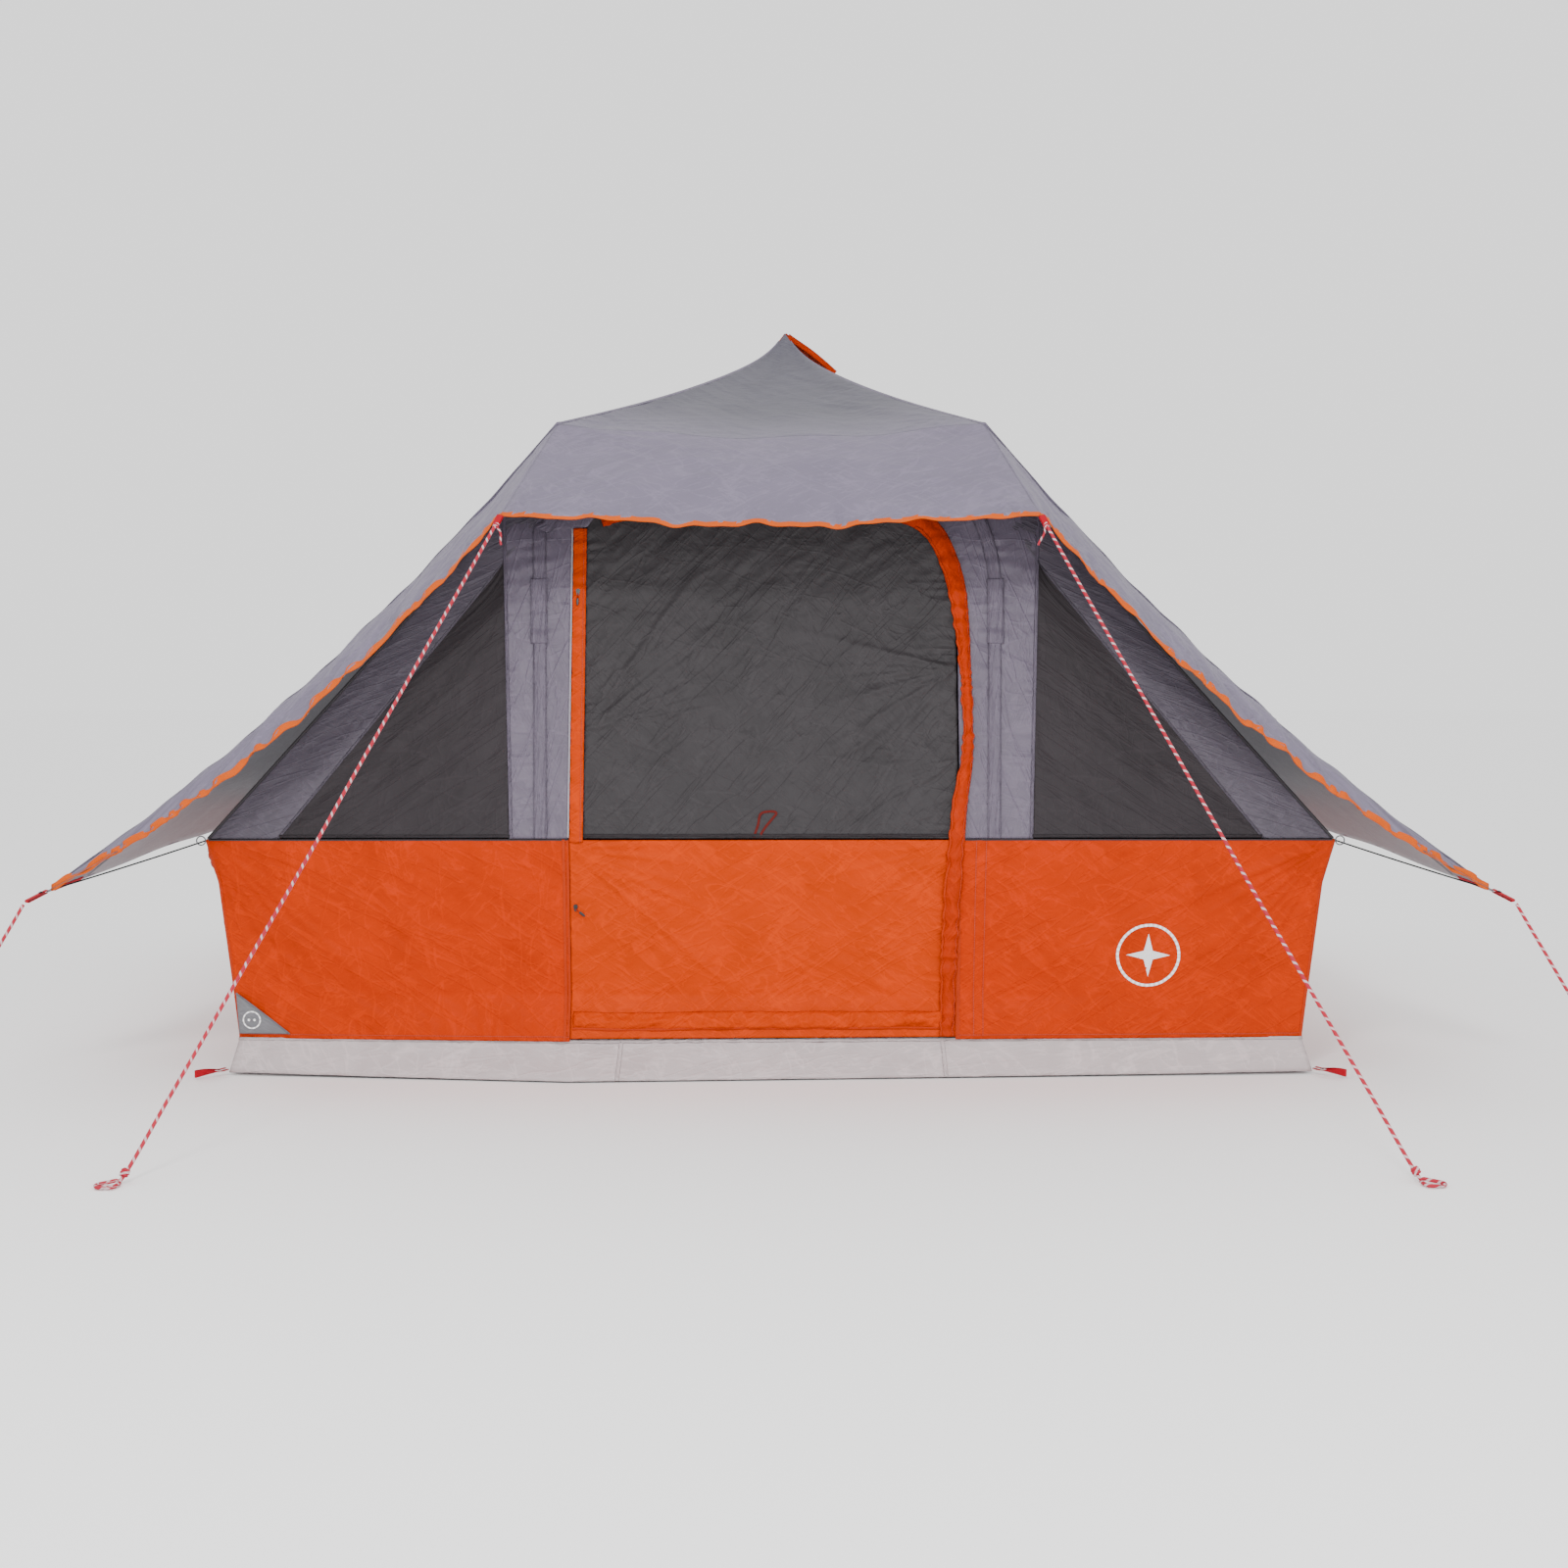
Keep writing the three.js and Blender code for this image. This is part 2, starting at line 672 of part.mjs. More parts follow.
// A peg loop on the ground at a corner of the tray, with the slot that the peg goes through.
function pegLoop(sx, sy) {
  const slot = new THREE.Path();
  const outline = new THREE.Shape();
  const length = 120;
  const half = WEBBING_WIDTH / 2;
  outline.moveTo(0, -half);
  outline.lineTo(length - 6, -half);
  outline.lineTo(length, -half + 6);
  outline.lineTo(length, half - 6);
  outline.lineTo(length - 6, half);
  outline.lineTo(0, half);
  slot.moveTo(length - 34, -7);
  slot.lineTo(length - 34, 7);
  slot.lineTo(length - 8, 7);
  slot.lineTo(length - 8, -7);
  outline.holes.push(slot);
  const strip = new THREE.ExtrudeGeometry(outline, { depth: 2.4, bevelEnabled: false });
  strip.rotateZ(Math.atan2(sy, sx));
  return strip.translate(sx * (FLOOR_HALF + 4), sy * (FLOOR_HALF + 4), 0.6);
}

function tube(points, diameter, steps) {
  const radius = diameter / 2;
  const ring = new THREE.Shape();
  const sides = 8;
  for (let i = 0; i < sides; i += 1) {
    const angle = (2 * Math.PI * (i + 0.5)) / sides;
    const [x, y] = [radius * Math.cos(angle), radius * Math.sin(angle)];
    if (i === 0) ring.moveTo(x, y);
    else ring.lineTo(x, y);
  }
  const route = new THREE.CatmullRomCurve3(points.map(vec), false, "centripetal");
  return new THREE.ExtrudeGeometry(ring, { steps, extrudePath: route, bevelEnabled: false });
}

// The right-hand guy rope of the canopy: taut to the ground, then its peg loop.
const CANOPY_GUY = [
  [842, -1968, 1742], [921, -2093, 1568], [1001, -2219, 1394], [1080, -2344, 1220], [1160, -2470, 1047],
  [1239, -2595, 874], [1318, -2720, 702], [1398, -2846, 531], [1477, -2971, 361], [1557, -3097, 191],
  [1636, -3222, 22], [1658, -3236, 9], [1691, -3258, 5], [1695, -3272, 5], [1692, -3285, 5],
  [1683, -3295, 5], [1669, -3300, 5], [1656, -3297, 5], [1645, -3287, 5], [1642, -3249, 5],
];

// The guy rope of the front right tip.
const TIP_GUY = [
  [2263, -2098, 586],
  [2289, -2124, 530],
  [2316, -2151, 473],
  [2343, -2178, 416],
  [2369, -2205, 360],
  [2396, -2231, 304],
  [2423, -2258, 248],
  [2450, -2285, 191],
  [2476, -2312, 135],
  [2503, -2338, 78],
  [2530, -2365, 22],
  [2544, -2380, 8],
  [2558, -2396, 5],
  [2567, -2414, 5],
  [2563, -2435, 5],
  [2547, -2444, 5],
  [2529, -2438, 5],
  [2522, -2419, 5],
  [2525, -2400, 5],
  [2530, -2388, 5],
];

function guying() {
  for (const [side, sx] of [["left", -1], ["right", 1]]) {
    const canopyWay = at(CANOPY_GUY[0], sx, 1);
    const hung0 = moved(canopyCorner(sx), canopyWay, 9);
    add(`canopy_loop_${side}`, strap(hung0, canopyWay, 22), RED_WEBBING);
    const canopyRoute = CANOPY_GUY.map((p) => at(p, sx, 1));
    add(`guy_rope_canopy_${side}`, tube(canopyRoute, ROPE, 70), PINK_ROPE);
    add(`guy_rope_tip_${side}`, tube(TIP_GUY.map((p) => at(p, sx, 1)), ROPE, 50), PINK_ROPE);
    for (const [end, sy] of [["front", -1], ["rear", 1]]) {
      const corner = tip(sx, sy);
      const away = at([2257, 2092, 593], sx, sy);
      add(`tip_loop_${end}_${side}`, strap(moved(corner, away, 8), away, 54), RED_WEBBING);
      add(`peg_loop_${end}_${side}`, pegLoop(sx, sy), RED_WEBBING);
      const wallCorner = at([WALL_HALF + 4, WALL_HALF + 4, WALL_TOP - 4], sx, sy);
      const near = at([2178, 2020, 632], sx, sy);
      const length = vec(near).distanceTo(vec(wallCorner));
      const cord = new THREE.CylinderGeometry(CORD / 2, CORD / 2, length, 8);
      cord.rotateX(Math.PI / 2).translate(0, 0, length / 2);
      add(`corner_cord_${end}_${side}`, alongLine(cord, wallCorner, near, 0), BLACK_CORD);
    }
  }
}

// ---------------------------------------------------------------- the tent

add("groundsheet", groundsheet(), TRAY_GREY);
lowerWalls();
upperFront();
upperRest();
door();
zipFlap();
zipper("zip_upper", 1545, 0.2144);
zipper("zip_lower", 540, 0);
cablePort();
centrePole();
doorPole("left", -1);
doorPole("right", 1);
flysheet();
vent();
guying();

export default tent;
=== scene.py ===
"""The tent's look: sewn cloth with folds, piping, zips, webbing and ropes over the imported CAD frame."""
import json
import math

import bpy
import numpy as np
from mathutils import Euler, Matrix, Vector


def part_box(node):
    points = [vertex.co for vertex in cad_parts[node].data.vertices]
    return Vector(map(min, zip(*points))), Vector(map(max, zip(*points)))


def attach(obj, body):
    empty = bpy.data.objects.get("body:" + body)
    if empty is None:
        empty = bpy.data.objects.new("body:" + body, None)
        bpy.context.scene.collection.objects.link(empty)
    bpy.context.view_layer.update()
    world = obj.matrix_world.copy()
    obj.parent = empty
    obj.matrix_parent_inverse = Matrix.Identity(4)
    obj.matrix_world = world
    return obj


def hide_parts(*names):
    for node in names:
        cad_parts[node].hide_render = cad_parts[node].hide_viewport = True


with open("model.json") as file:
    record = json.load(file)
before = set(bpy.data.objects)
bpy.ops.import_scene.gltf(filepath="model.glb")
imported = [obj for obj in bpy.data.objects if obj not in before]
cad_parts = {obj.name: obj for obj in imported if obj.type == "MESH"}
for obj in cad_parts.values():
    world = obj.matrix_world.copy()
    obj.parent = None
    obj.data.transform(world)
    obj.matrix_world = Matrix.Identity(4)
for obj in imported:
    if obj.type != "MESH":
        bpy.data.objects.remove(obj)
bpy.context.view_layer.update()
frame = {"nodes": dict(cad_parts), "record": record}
SLOTS = {s["node"]: s["material_slot"] for s in frame["record"]["subparts"]}

# The same dimensions as the CAD, in millimetres.
SPREAD = np.array([55.0, 0, 2540])  # where the roof's planes would meet without the pole's small cone
SHOULDER = np.array([695.0, 1520, 2095])
CANOPY_CORNER = np.array([830.0, 1950, 1770])
TIP = np.array([2215.0, 2050, 618])
HEM_MIDDLE, REAR_MIDDLE, HEM_MIDDLE_Z = 1950, 1890, 750
RIDGE_SAG, TRIM_SAG, ROOF_DIP, CREASE_SAG = 100, 110, 24, 46
CONE_HEIGHT, CONE_REACH = 76, 131  # the small cone of the roof over the pole's cap
INNER_PEAK = np.array([52.0, 0, 2390])
INNER_SHOULDER = np.array([700.0, 1520, 2000])
WALL_TOP, TRAY_TOP = 760, 120
WALL_OUT = 1785  # from the middle to the front wall, at the wall's top
WALL_FOOT, WALL_HEAD = 115, 759  # the ends of the lower walls' cloth
WINDOW_FOOT, WINDOW_HEAD = 764, 1650
DOOR_LEFT, DOOR_RIGHT, STRIP_RIGHT = -640, 594, -597
DOOR_WINDOW_FOOT, DOOR_WINDOW_HEAD = 763, 1803
FRONT_RIGHT = 597  # where the right part of the front wall begins

SIDES = (("left", -1), ("right", 1))
ENDS = (("front", -1), ("rear", 1))
OFF, ON = (0, 0, 0, 1), (1, 1, 1, 1)


# ---------------- camera

def add_camera():
    data = bpy.data.cameras.new("camera")
    camera = bpy.data.objects.new("camera", data)
    bpy.context.scene.collection.objects.link(camera)
    data.lens = 50.6
    data.sensor_width = 36
    camera.location = (0, -8.75, 1.30)
    camera.rotation_euler = Euler((math.radians(87.0), 0, math.radians(-0.33)))
    bpy.context.scene.camera = camera


# ---------------- materials

def linear(rgb):
    return [((c / 255 + 0.055) / 1.055) ** 2.4 if c > 10 else c / 255 / 12.92 for c in rgb] + [1.0]


class Nodes:
    """A material's node tree, with short calls to add to it."""

    def __init__(self, name, roughness=0.6, metallic=0.0):
        self.material = bpy.data.materials.new(name)
        self.material.use_nodes = True
        self.tree = self.material.node_tree
        self.shader = self.tree.nodes["Principled BSDF"]
        self.shader.inputs["Roughness"].default_value = roughness
        self.shader.inputs["Metallic"].default_value = metallic

    def add(self, kind, **values):
        node = self.tree.nodes.new(kind)
        for key, value in values.items():
            if hasattr(node, key):
                setattr(node, key, value)
            else:
                node.inputs[key.replace("_", " ").title()].default_value = value
        return node

    def link(self, a, b):
        self.tree.links.new(a, b)

    def coordinates(self, kind, stretch=(1, 1, 1)):
        source = self.add("ShaderNodeTexCoord").outputs[kind]
        mapping = self.add("ShaderNodeMapping")
        mapping.inputs["Scale"].default_value = stretch
        self.link(source, mapping.inputs["Vector"])
        return mapping.outputs["Vector"]

    def noise(self, vector, scale, detail=3.0, distortion=0.0):
        node = self.add("ShaderNodeTexNoise", scale=scale, detail=detail, distortion=distortion)
        self.link(vector, node.inputs["Vector"])
        return node.outputs["Fac"]

    def streaks(self, angle, scale, stretch):
        """Thin ridges, longer along the angle (degrees) than across it."""
        mapping = self.add("ShaderNodeMapping", vector_type="TEXTURE")
        mapping.inputs["Rotation"].default_value = (0, 0, math.radians(angle))
        mapping.inputs["Scale"].default_value = (stretch / scale, 1 / scale, 1)
        self.link(self.add("ShaderNodeTexCoord").outputs["UV"], mapping.inputs["Vector"])
        wander = self.noise(mapping.outputs["Vector"], 1.0, 3.0, 0.7)
        return self.ramp(wander, [(0.45, OFF), (0.5, ON), (0.535, OFF)])

    def mixed(self, share, colour, other):
        mix = self.add("ShaderNodeMix", data_type="RGBA")
        self.link(share, mix.inputs[0])
        self.link(colour, mix.inputs[6])
        mix.inputs[7].default_value = other
        return mix.outputs[2]

    def bands(self, vector, scale, direction):
        node = self.add("ShaderNodeTexWave", bands_direction=direction, scale=scale)
        self.link(vector, node.inputs["Vector"])
        return node.outputs["Fac"]

    def ramp(self, value, stops):
        node = self.add("ShaderNodeValToRGB")
        elements = node.color_ramp.elements
        while len(elements) < len(stops):
            elements.new(0.5)
        for element, (position, colour) in zip(elements, stops):
            element.position = position
            element.color = colour
        self.link(value, node.inputs["Fac"])
        return node.outputs["Color"]

    def bump(self, height, distance, strength=1.0, below=None):
        node = self.add("ShaderNodeBump")
        node.inputs["Strength"].default_value = strength
        node.inputs["Distance"].default_value = distance
        self.link(height, node.inputs["Height"])
        if below is not None:
            self.link(below, node.inputs["Normal"])
        return node.outputs["Normal"]

    def finish(self, colour, normal):
        self.link(colour, self.shader.inputs["Base Color"])
        if normal is not None:
            self.link(normal, self.shader.inputs["Normal"])
        return self.material


def shades(rgb, spread):
    """Stops for a ramp from a darker to a lighter shade of a colour."""
    low = linear([max(0, c * (1 - spread)) for c in rgb])
    high = linear([min(255, c * (1 + spread)) for c in rgb])
    return [(0.3, low), (0.7, high)]


def cloth(name, rgb, roughness=0.5, spread=0.04, crinkle=0.0016, ripstop=0.0, specular=0.3, through=0.0,
          grain=32.0, fade=None):
    """Thin sewn cloth. through is a painted glow: the strength of light the cloth gives off in its own
    colour, standing in for daylight coming through it.
    grain is the way its fine creases run (degrees), and fade (start, end, colour) a change of colour along
    the panel (metres), used for painted light and shade; the crease lines carry a painted highlight."""
    n = Nodes(name, roughness)
    n.shader.inputs["Emission Color"].default_value = linear(rgb)
    # painted glow: the cloth gives off light of its own colour at this strength
    n.shader.inputs["Emission Strength"].default_value = through
    n.shader.inputs["Specular IOR Level"].default_value = specular
    where = n.coordinates("UV")
    colour = n.ramp(n.noise(where, 5.0, 5.0), shades(rgb, spread))
    # painted highlight: a lighter shade of the cloth's colour, laid along the ridges of its fine creases
    painted_highlight = linear([min(255, c * 1.11 + 2) for c in rgb])
    if fade:
        start, end, other = fade
        apart = n.add("ShaderNodeSeparateXYZ")
        n.link(where, apart.inputs[0])
        share = n.add("ShaderNodeMapRange", clamp=True)
        share.inputs["From Min"].default_value = start
        share.inputs["From Max"].default_value = end
        n.link(apart.outputs["Y"], share.inputs["Value"])
        colour = n.mixed(share.outputs["Result"], colour, linear(other))
    normal = n.bump(n.noise(where, 9.0, 8.0, 1.2), crinkle * 3.2, 1.0)
    runs = ((grain, 16.0, 6.0, 0.6), (grain - 65, 9.0, 3.0, 0.35), (-grain, 24.0, 4.0, 0.3))
    for angle, scale, stretch, share in runs:
        line = n.streaks(angle, scale, stretch)
        normal = n.bump(line, crinkle, share, normal)
        # painted highlight: each crease line is mixed towards the lighter shade
        colour = n.mixed(n.ramp(line, [(0.5, OFF), (1.0, (0.5, 0.5, 0.5, 1))]), colour, painted_highlight)
    if ripstop:
        for direction in "XY":
            lines = n.ramp(n.bands(where, 52.0, direction), [(0.9, OFF), (0.99, ON)])
            normal = n.bump(lines, 0.0002, ripstop, normal)
    normal = n.bump(n.noise(where, 900.0, 2.0), 0.0002, 0.25, normal)
    return n.finish(colour, normal)


def woven_band(name, rgb, roughness=0.65, scale=180.0):
    n = Nodes(name, roughness)
    n.shader.inputs["Specular IOR Level"].default_value = 0.15
    where = n.coordinates("UV")
    ribs = n.bands(where, scale, "Y")
    colour = n.ramp(ribs, shades(rgb, 0.14))
    return n.finish(colour, n.bump(ribs, 0.0004, 0.6, n.bump(n.noise(where, 120.0), 0.0004, 0.4)))


WHOLE_WAVE = 0.31416  # the wave texture's scale that gives one wave to each unit


def stripes(name, first, second, turn, period):
    """Two colours wound round a rope: turn is how many starts the spiral has."""
    n = Nodes(name, 0.7)
    where = n.coordinates("UV", (turn, 1 / period, 1))
    wave = n.add("ShaderNodeTexWave", bands_direction="DIAGONAL", scale=WHOLE_WAVE)
    n.link(where, wave.inputs["Vector"])
    colour = n.ramp(wave.outputs["Fac"], [(0.73, linear(first)), (0.88, linear(second))])
    plait = n.noise(n.coordinates("UV", (8, 700, 1)), 1.0)
    return n.finish(colour, n.bump(plait, 0.0005, 0.6))


def stitched(name, rgb, thread):
    """Sewing: short stitches of thread along the piece, on cloth of its own colour."""
    n = Nodes(name, 0.7)
    dashes = n.bands(n.coordinates("UV"), 40.0, "Y")
    colour = n.ramp(dashes, [(0.45, linear(rgb)), (0.55, linear(thread))])
    return n.finish(colour, n.bump(dashes, 0.0005, 0.8))


def metal(name, rgb, roughness=0.3):
    n = Nodes(name, roughness, 0.95)
    where = n.coordinates("Object", (1, 1, 0.02))
    brushed = n.noise(where, 900.0, 3.0)
    colour = n.ramp(n.noise(n.coordinates("Object"), 6.0), shades(rgb, 0.08))
    return n.finish(colour, n.bump(brushed, 0.0002, 0.3))


def moulded(name, rgb, roughness=0.5):
    n = Nodes(name, roughness)
    where = n.coordinates("Object")
    colour = n.ramp(n.noise(where, 60.0), shades(rgb, 0.12))
    return n.finish(colour, n.bump(n.noise(where, 1500.0), 0.0002, 0.3))


def make_materials():
    return {
        "fly": cloth("fly_cloth", (106, 99, 116), 0.5, 0.03, 0.0012, 0.25),
        # painted shade: the roof is a darker copy of the fly's cloth, dark from the peak down and turning
        # lighter towards the fly's colour near the crease
        "roof": cloth("roof_cloth_painted_shade", (73, 71, 82), 0.5, 0.03, 0.0014, 0.25, fade=(1.1, 1.7, (104, 98, 114))),
        # painted glow: the inside of the fly gives off a weak light in its own colour, standing in for
        # daylight through the thin cloth
        "fly_inside_painted_glow": cloth("fly_inside_painted_glow", (112, 110, 114), 0.6, 0.03, 0.001, 0.2, through=0.6),
        "orange": cloth("orange_cloth", (176, 46, 0), 0.40, 0.04, 0.0026, 0.1, 0.03, grain=-32.0),
        "orange_right": cloth("orange_cloth_right", (176, 46, 0), 0.40, 0.04, 0.0026, 0.1, 0.03),
        "door_orange": cloth("door_orange", (182, 54, 0), 0.40, 0.04, 0.0022, 0.1, 0.03),
        "flap_orange": cloth("flap_orange", (164, 42, 0), 0.40, 0.05, 0.0025, 0.0, 0.05),
        "lilac": cloth("lilac_cloth", (90, 82, 96), 0.45, 0.04, 0.0022, grain=70.0),
        "purple": cloth("purple_cloth", (72, 66, 76), 0.5, 0.05, 0.0016),
        "net": cloth("net_cloth", (41, 36, 39), 0.6, 0.07, 0.0015, 0.0, 0.2, grain=55.0),
        # painted light: the door's net turns lighter towards its top, where the canopy shades it
        "door_net_painted_light": cloth("door_net_painted_light", (47, 44, 46), 0.55, 0.07, 0.0022, 0.0, 0.2, grain=48.0,
                          fade=(0.72, 1.06, (62, 59, 61))),
        "tray": cloth("tray_cloth", (178, 166, 167), 0.42, 0.03, 0.0016, grain=12.0),
        "patch": cloth("patch_cloth", (104, 104, 108), 0.55, 0.05, 0.001),
        "tip_patch": cloth("tip_patch", (98, 95, 101), 0.55, 0.05, 0.001),
        "piping": woven_band("piping", (56, 53, 56)),
        "trim": woven_band("trim", (190, 78, 0), 0.55, 120.0),
        "webbing": woven_band("webbing", (160, 0, 26)),
        "tape": woven_band("zip_tape", (150, 145, 153), 0.5, 300.0),
        "orange_tape": woven_band("orange_tape", (168, 46, 0), 0.5, 300.0),
        "print": woven_band("print", (250, 248, 246), 0.5, 20.0),
        "thread_orange": stitched("thread_orange", (176, 46, 0), (150, 38, 0)),
        "rope": stripes("rope", (164, 0, 38), (196, 172, 175), 2, 0.015),
        "elastic": woven_band("elastic", (30, 30, 31), 0.7, 400.0),
        "steel": metal("pole_steel", (168, 171, 175)),
        "rubber": moulded("foot_rubber", (32, 32, 33), 0.8),
        "black": moulded("black_plastic", (24, 24, 25), 0.4),
        "red_cord": woven_band("red_cord", (150, 30, 10), 0.7, 500.0),
        # painted shade: a darker copy of the red cord, used for the door's tie loop
        "red_cord_painted_shade": woven_band("red_cord_painted_shade", (92, 26, 22), 0.7, 500.0),
    }


# ---------------- folds in cloth

def value_noise(x, y, seed):
    table = np.random.RandomState(seed).rand(64, 64)
    ix, iy = np.floor(x).astype(int), np.floor(y).astype(int)
    fx, fy = x - ix, y - iy
    fx, fy = fx * fx * (3 - 2 * fx), fy * fy * (3 - 2 * fy)
    a, b = table[ix % 64, iy % 64], table[(ix + 1) % 64, iy % 64]
    c, d = table[ix % 64, (iy + 1) % 64], table[(ix + 1) % 64, (iy + 1) % 64]
    return (a * (1 - fx) + b * fx) * (1 - fy) + (c * (1 - fx) + d * fx) * fy


def creases(u, v, seed, size, height, angle=0.0, stretch=2.5):
    """Sharp-topped folds, longer along the angle (degrees) than across it. u, v, size in metres."""
    c, s = math.cos(math.radians(angle)), math.sin(math.radians(angle))
    x, y = (u * c + v * s) / size / stretch, (-u * s + v * c) / size
    total = np.zeros_like(u)
    weight = 1.0
    for k in range(3):
        n = value_noise(x * 2**k + 9 * k, y * 2**k + 5 * k, seed + k)
        total += weight * (1 - np.abs(2 * n - 1))
        weight *= 0.5
    return height * (total / 1.75 - 0.5)


def ray(u, v, start, end, width, height):
    """One straight fold from start to end that widens and fades out along its way."""
    d = np.array(end, float) - np.array(start, float)
    length = np.hypot(*d)
    du, dv = u - start[0], v - start[1]
    along = (du * d[0] + dv * d[1]) / length**2
    across = (du * d[1] - dv * d[0]) / length
    spread = width * (0.35 + np.clip(along, 0, 1))
    fade = np.clip(along * 8, 0, 1) * np.clip(1 - along, 0, 1) ** 0.8
    return height * np.exp(-((across / spread) ** 2)) * fade


def pull(u, v, corner, towards, count, opening, length, width, height, seed):
    """Folds that fan out from a corner where the cloth is pulled."""
    random = np.random.RandomState(seed)
    middle = math.atan2(towards[1] - corner[1], towards[0] - corner[0])
    total = np.zeros_like(u)
    for k in range(count):
        angle = middle + math.radians(opening) * ((k + 0.5) / count - 0.5 + random.uniform(-0.04, 0.04))
        reach = length * random.uniform(0.5, 1.0)
        end = (corner[0] + reach * math.cos(angle), corner[1] + reach * math.sin(angle))
        total += ray(u, v, corner, end, width * random.uniform(0.7, 1.4), height * random.uniform(0.4, 1))
    return total


def puckers(along, away, period, depth, reach, seed):
    """Small gathers along a sewn edge, fading within reach of it."""
    phase = 2.5 * value_noise(along / 0.11, away * 0 + seed, seed)
    size = 0.5 + value_noise(along / 0.05, away * 0 + 3, seed + 1)
    return depth * size * np.sin(2 * np.pi * along / period + 6 * phase) * np.exp(-away / reach)


def inside_edges(shape, rows, columns):
    """1 in the middle of a grid, falling to 0 at its edges within that many cells."""
    i = np.minimum(np.arange(shape[0]), np.arange(shape[0])[::-1]) / max(rows, 1e-6)
    j = np.minimum(np.arange(shape[1]), np.arange(shape[1])[::-1]) / max(columns, 1e-6)
    mask = np.clip(i, 0, 1)[:, None] * np.clip(j, 0, 1)[None, :]
    return mask * (2 - mask)


# ---------------- meshes

def unit(vectors, least=0.0):
    """Vectors scaled to a length of 1, or divided by least where they are shorter than it."""
    return vectors / np.maximum(np.linalg.norm(vectors, axis=-1, keepdims=True), least)


def distance_along(path):
    """How far along a path each of its points is."""
    return np.concatenate([[0], np.linalg.norm(np.diff(path, axis=0), axis=1).cumsum()])


def fractions(rows, columns):
    """0 to 1 down a grid and 0 to 1 across it."""
    return np.linspace(0, 1, rows)[:, None], np.linspace(0, 1, columns)[None, :]


def stand_in(piece, *nodes):
    """Hides the CAD nodes that a piece shows in their place."""
    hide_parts(*nodes)


def link(name, verts, faces, uvs, material, body, smooth=True):
    mesh = bpy.data.meshes.new(name)
    mesh.from_pydata([tuple(p) for p in verts], [], faces)
    layer = mesh.uv_layers.new(name="UVMap")
    loops = np.array([uvs[i] for f in faces for i in f], np.float32).reshape(-1)
    layer.data.foreach_set("uv", loops)
    mesh.polygons.foreach_set("use_smooth", [smooth] * len(faces))
    mesh.materials.append(material)
    piece = bpy.data.objects.new(name, mesh)
    bpy.context.scene.collection.objects.link(piece)
    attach(piece, body)
    return piece


def grid_faces(rows, columns, flip):
    i, j = np.meshgrid(np.arange(rows - 1), np.arange(columns - 1), indexing="ij")
    a = (i * columns + j).ravel()
    quads = np.stack([a, a + columns, a + columns + 1, a + 1], 1)
    if flip:
        quads = quads[:, ::-1]
    return quads.tolist()


class Panel:
    """A panel of cloth from a grid of points in millimetres. out is a direction on its outer side."""

    def __init__(self, points, out):
        self.points = np.array(points, float) / 1000
        du, dv = np.gradient(self.points, axis=0), np.gradient(self.points, axis=1)
        normal = np.cross(du, dv)
        size = np.linalg.norm(normal, axis=2, keepdims=True)
        mean = normal.sum((0, 1))
        self.flip = float(mean @ np.array(out, float)) < 0
        normal = normal / np.maximum(size, 1e-12)
        weak = size[..., 0] < 1e-9
        normal[weak] = mean / np.linalg.norm(mean)
        self.normal = -normal if self.flip else normal
        steps_u = np.linalg.norm(np.diff(self.points, axis=0), axis=2)
        steps_v = np.linalg.norm(np.diff(self.points, axis=1), axis=2)
        self.u = np.concatenate([np.zeros((1, self.points.shape[1])), steps_u.cumsum(0)], 0)
        self.v = np.concatenate([np.zeros((self.points.shape[0], 1)), steps_v.cumsum(1)], 1)
        self.area = float(np.linalg.norm(np.cross(du, dv), axis=2)[:-1, :-1].sum())

    def move(self, distance):
        """Moves each point out along the normal by a distance in metres."""
        self.points = self.points + self.normal * np.asarray(distance)[..., None]

    def fold(self, folds, rows, columns, sink=0.0):
        """Moves the points by folds less sink, which die out within so many cells of the edges."""
        self.move((folds - sink) * inside_edges(self.u.shape, rows, columns))

    def at(self, s, t, lift=0.0):
        """The point (and the normal) a fraction s, t of the way across the grid, lifted off it."""
        rows, columns = self.points.shape[:2]
        x, y = np.clip(s, 0, 1) * (rows - 1), np.clip(t, 0, 1) * (columns - 1)
        i, j = np.minimum(x.astype(int), rows - 2), np.minimum(y.astype(int), columns - 2)
        f, g = (x - i)[:, None], (y - j)[:, None]

        def mix(a):
            low = a[i, j] * (1 - f) + a[i + 1, j] * f
            high = a[i, j + 1] * (1 - f) + a[i + 1, j + 1] * f
            return low * (1 - g) + high * g

        normal = mix(self.normal)
        return mix(self.points) + normal * lift, normal

    def build(self, name, material, body="tent", replaces=(), held="stretched", thick=0.0012, sheet=True,
              lining=None):
        rows, columns = self.points.shape[:2]
        uvs = np.stack([self.u, self.v], 2).reshape(-1, 2)
        verts = self.points.reshape(-1, 3)
        faces = grid_faces(rows, columns, self.flip)
        piece = link(name, verts, faces, uvs, material, body)
        solid = piece.modifiers.new("thickness", "SOLIDIFY")
        solid.thickness = thick
        solid.offset = -1
        if lining:
            piece.data.materials.append(lining)
            solid.material_offset = 1
        if replaces:
            stand_in(piece, *replaces)


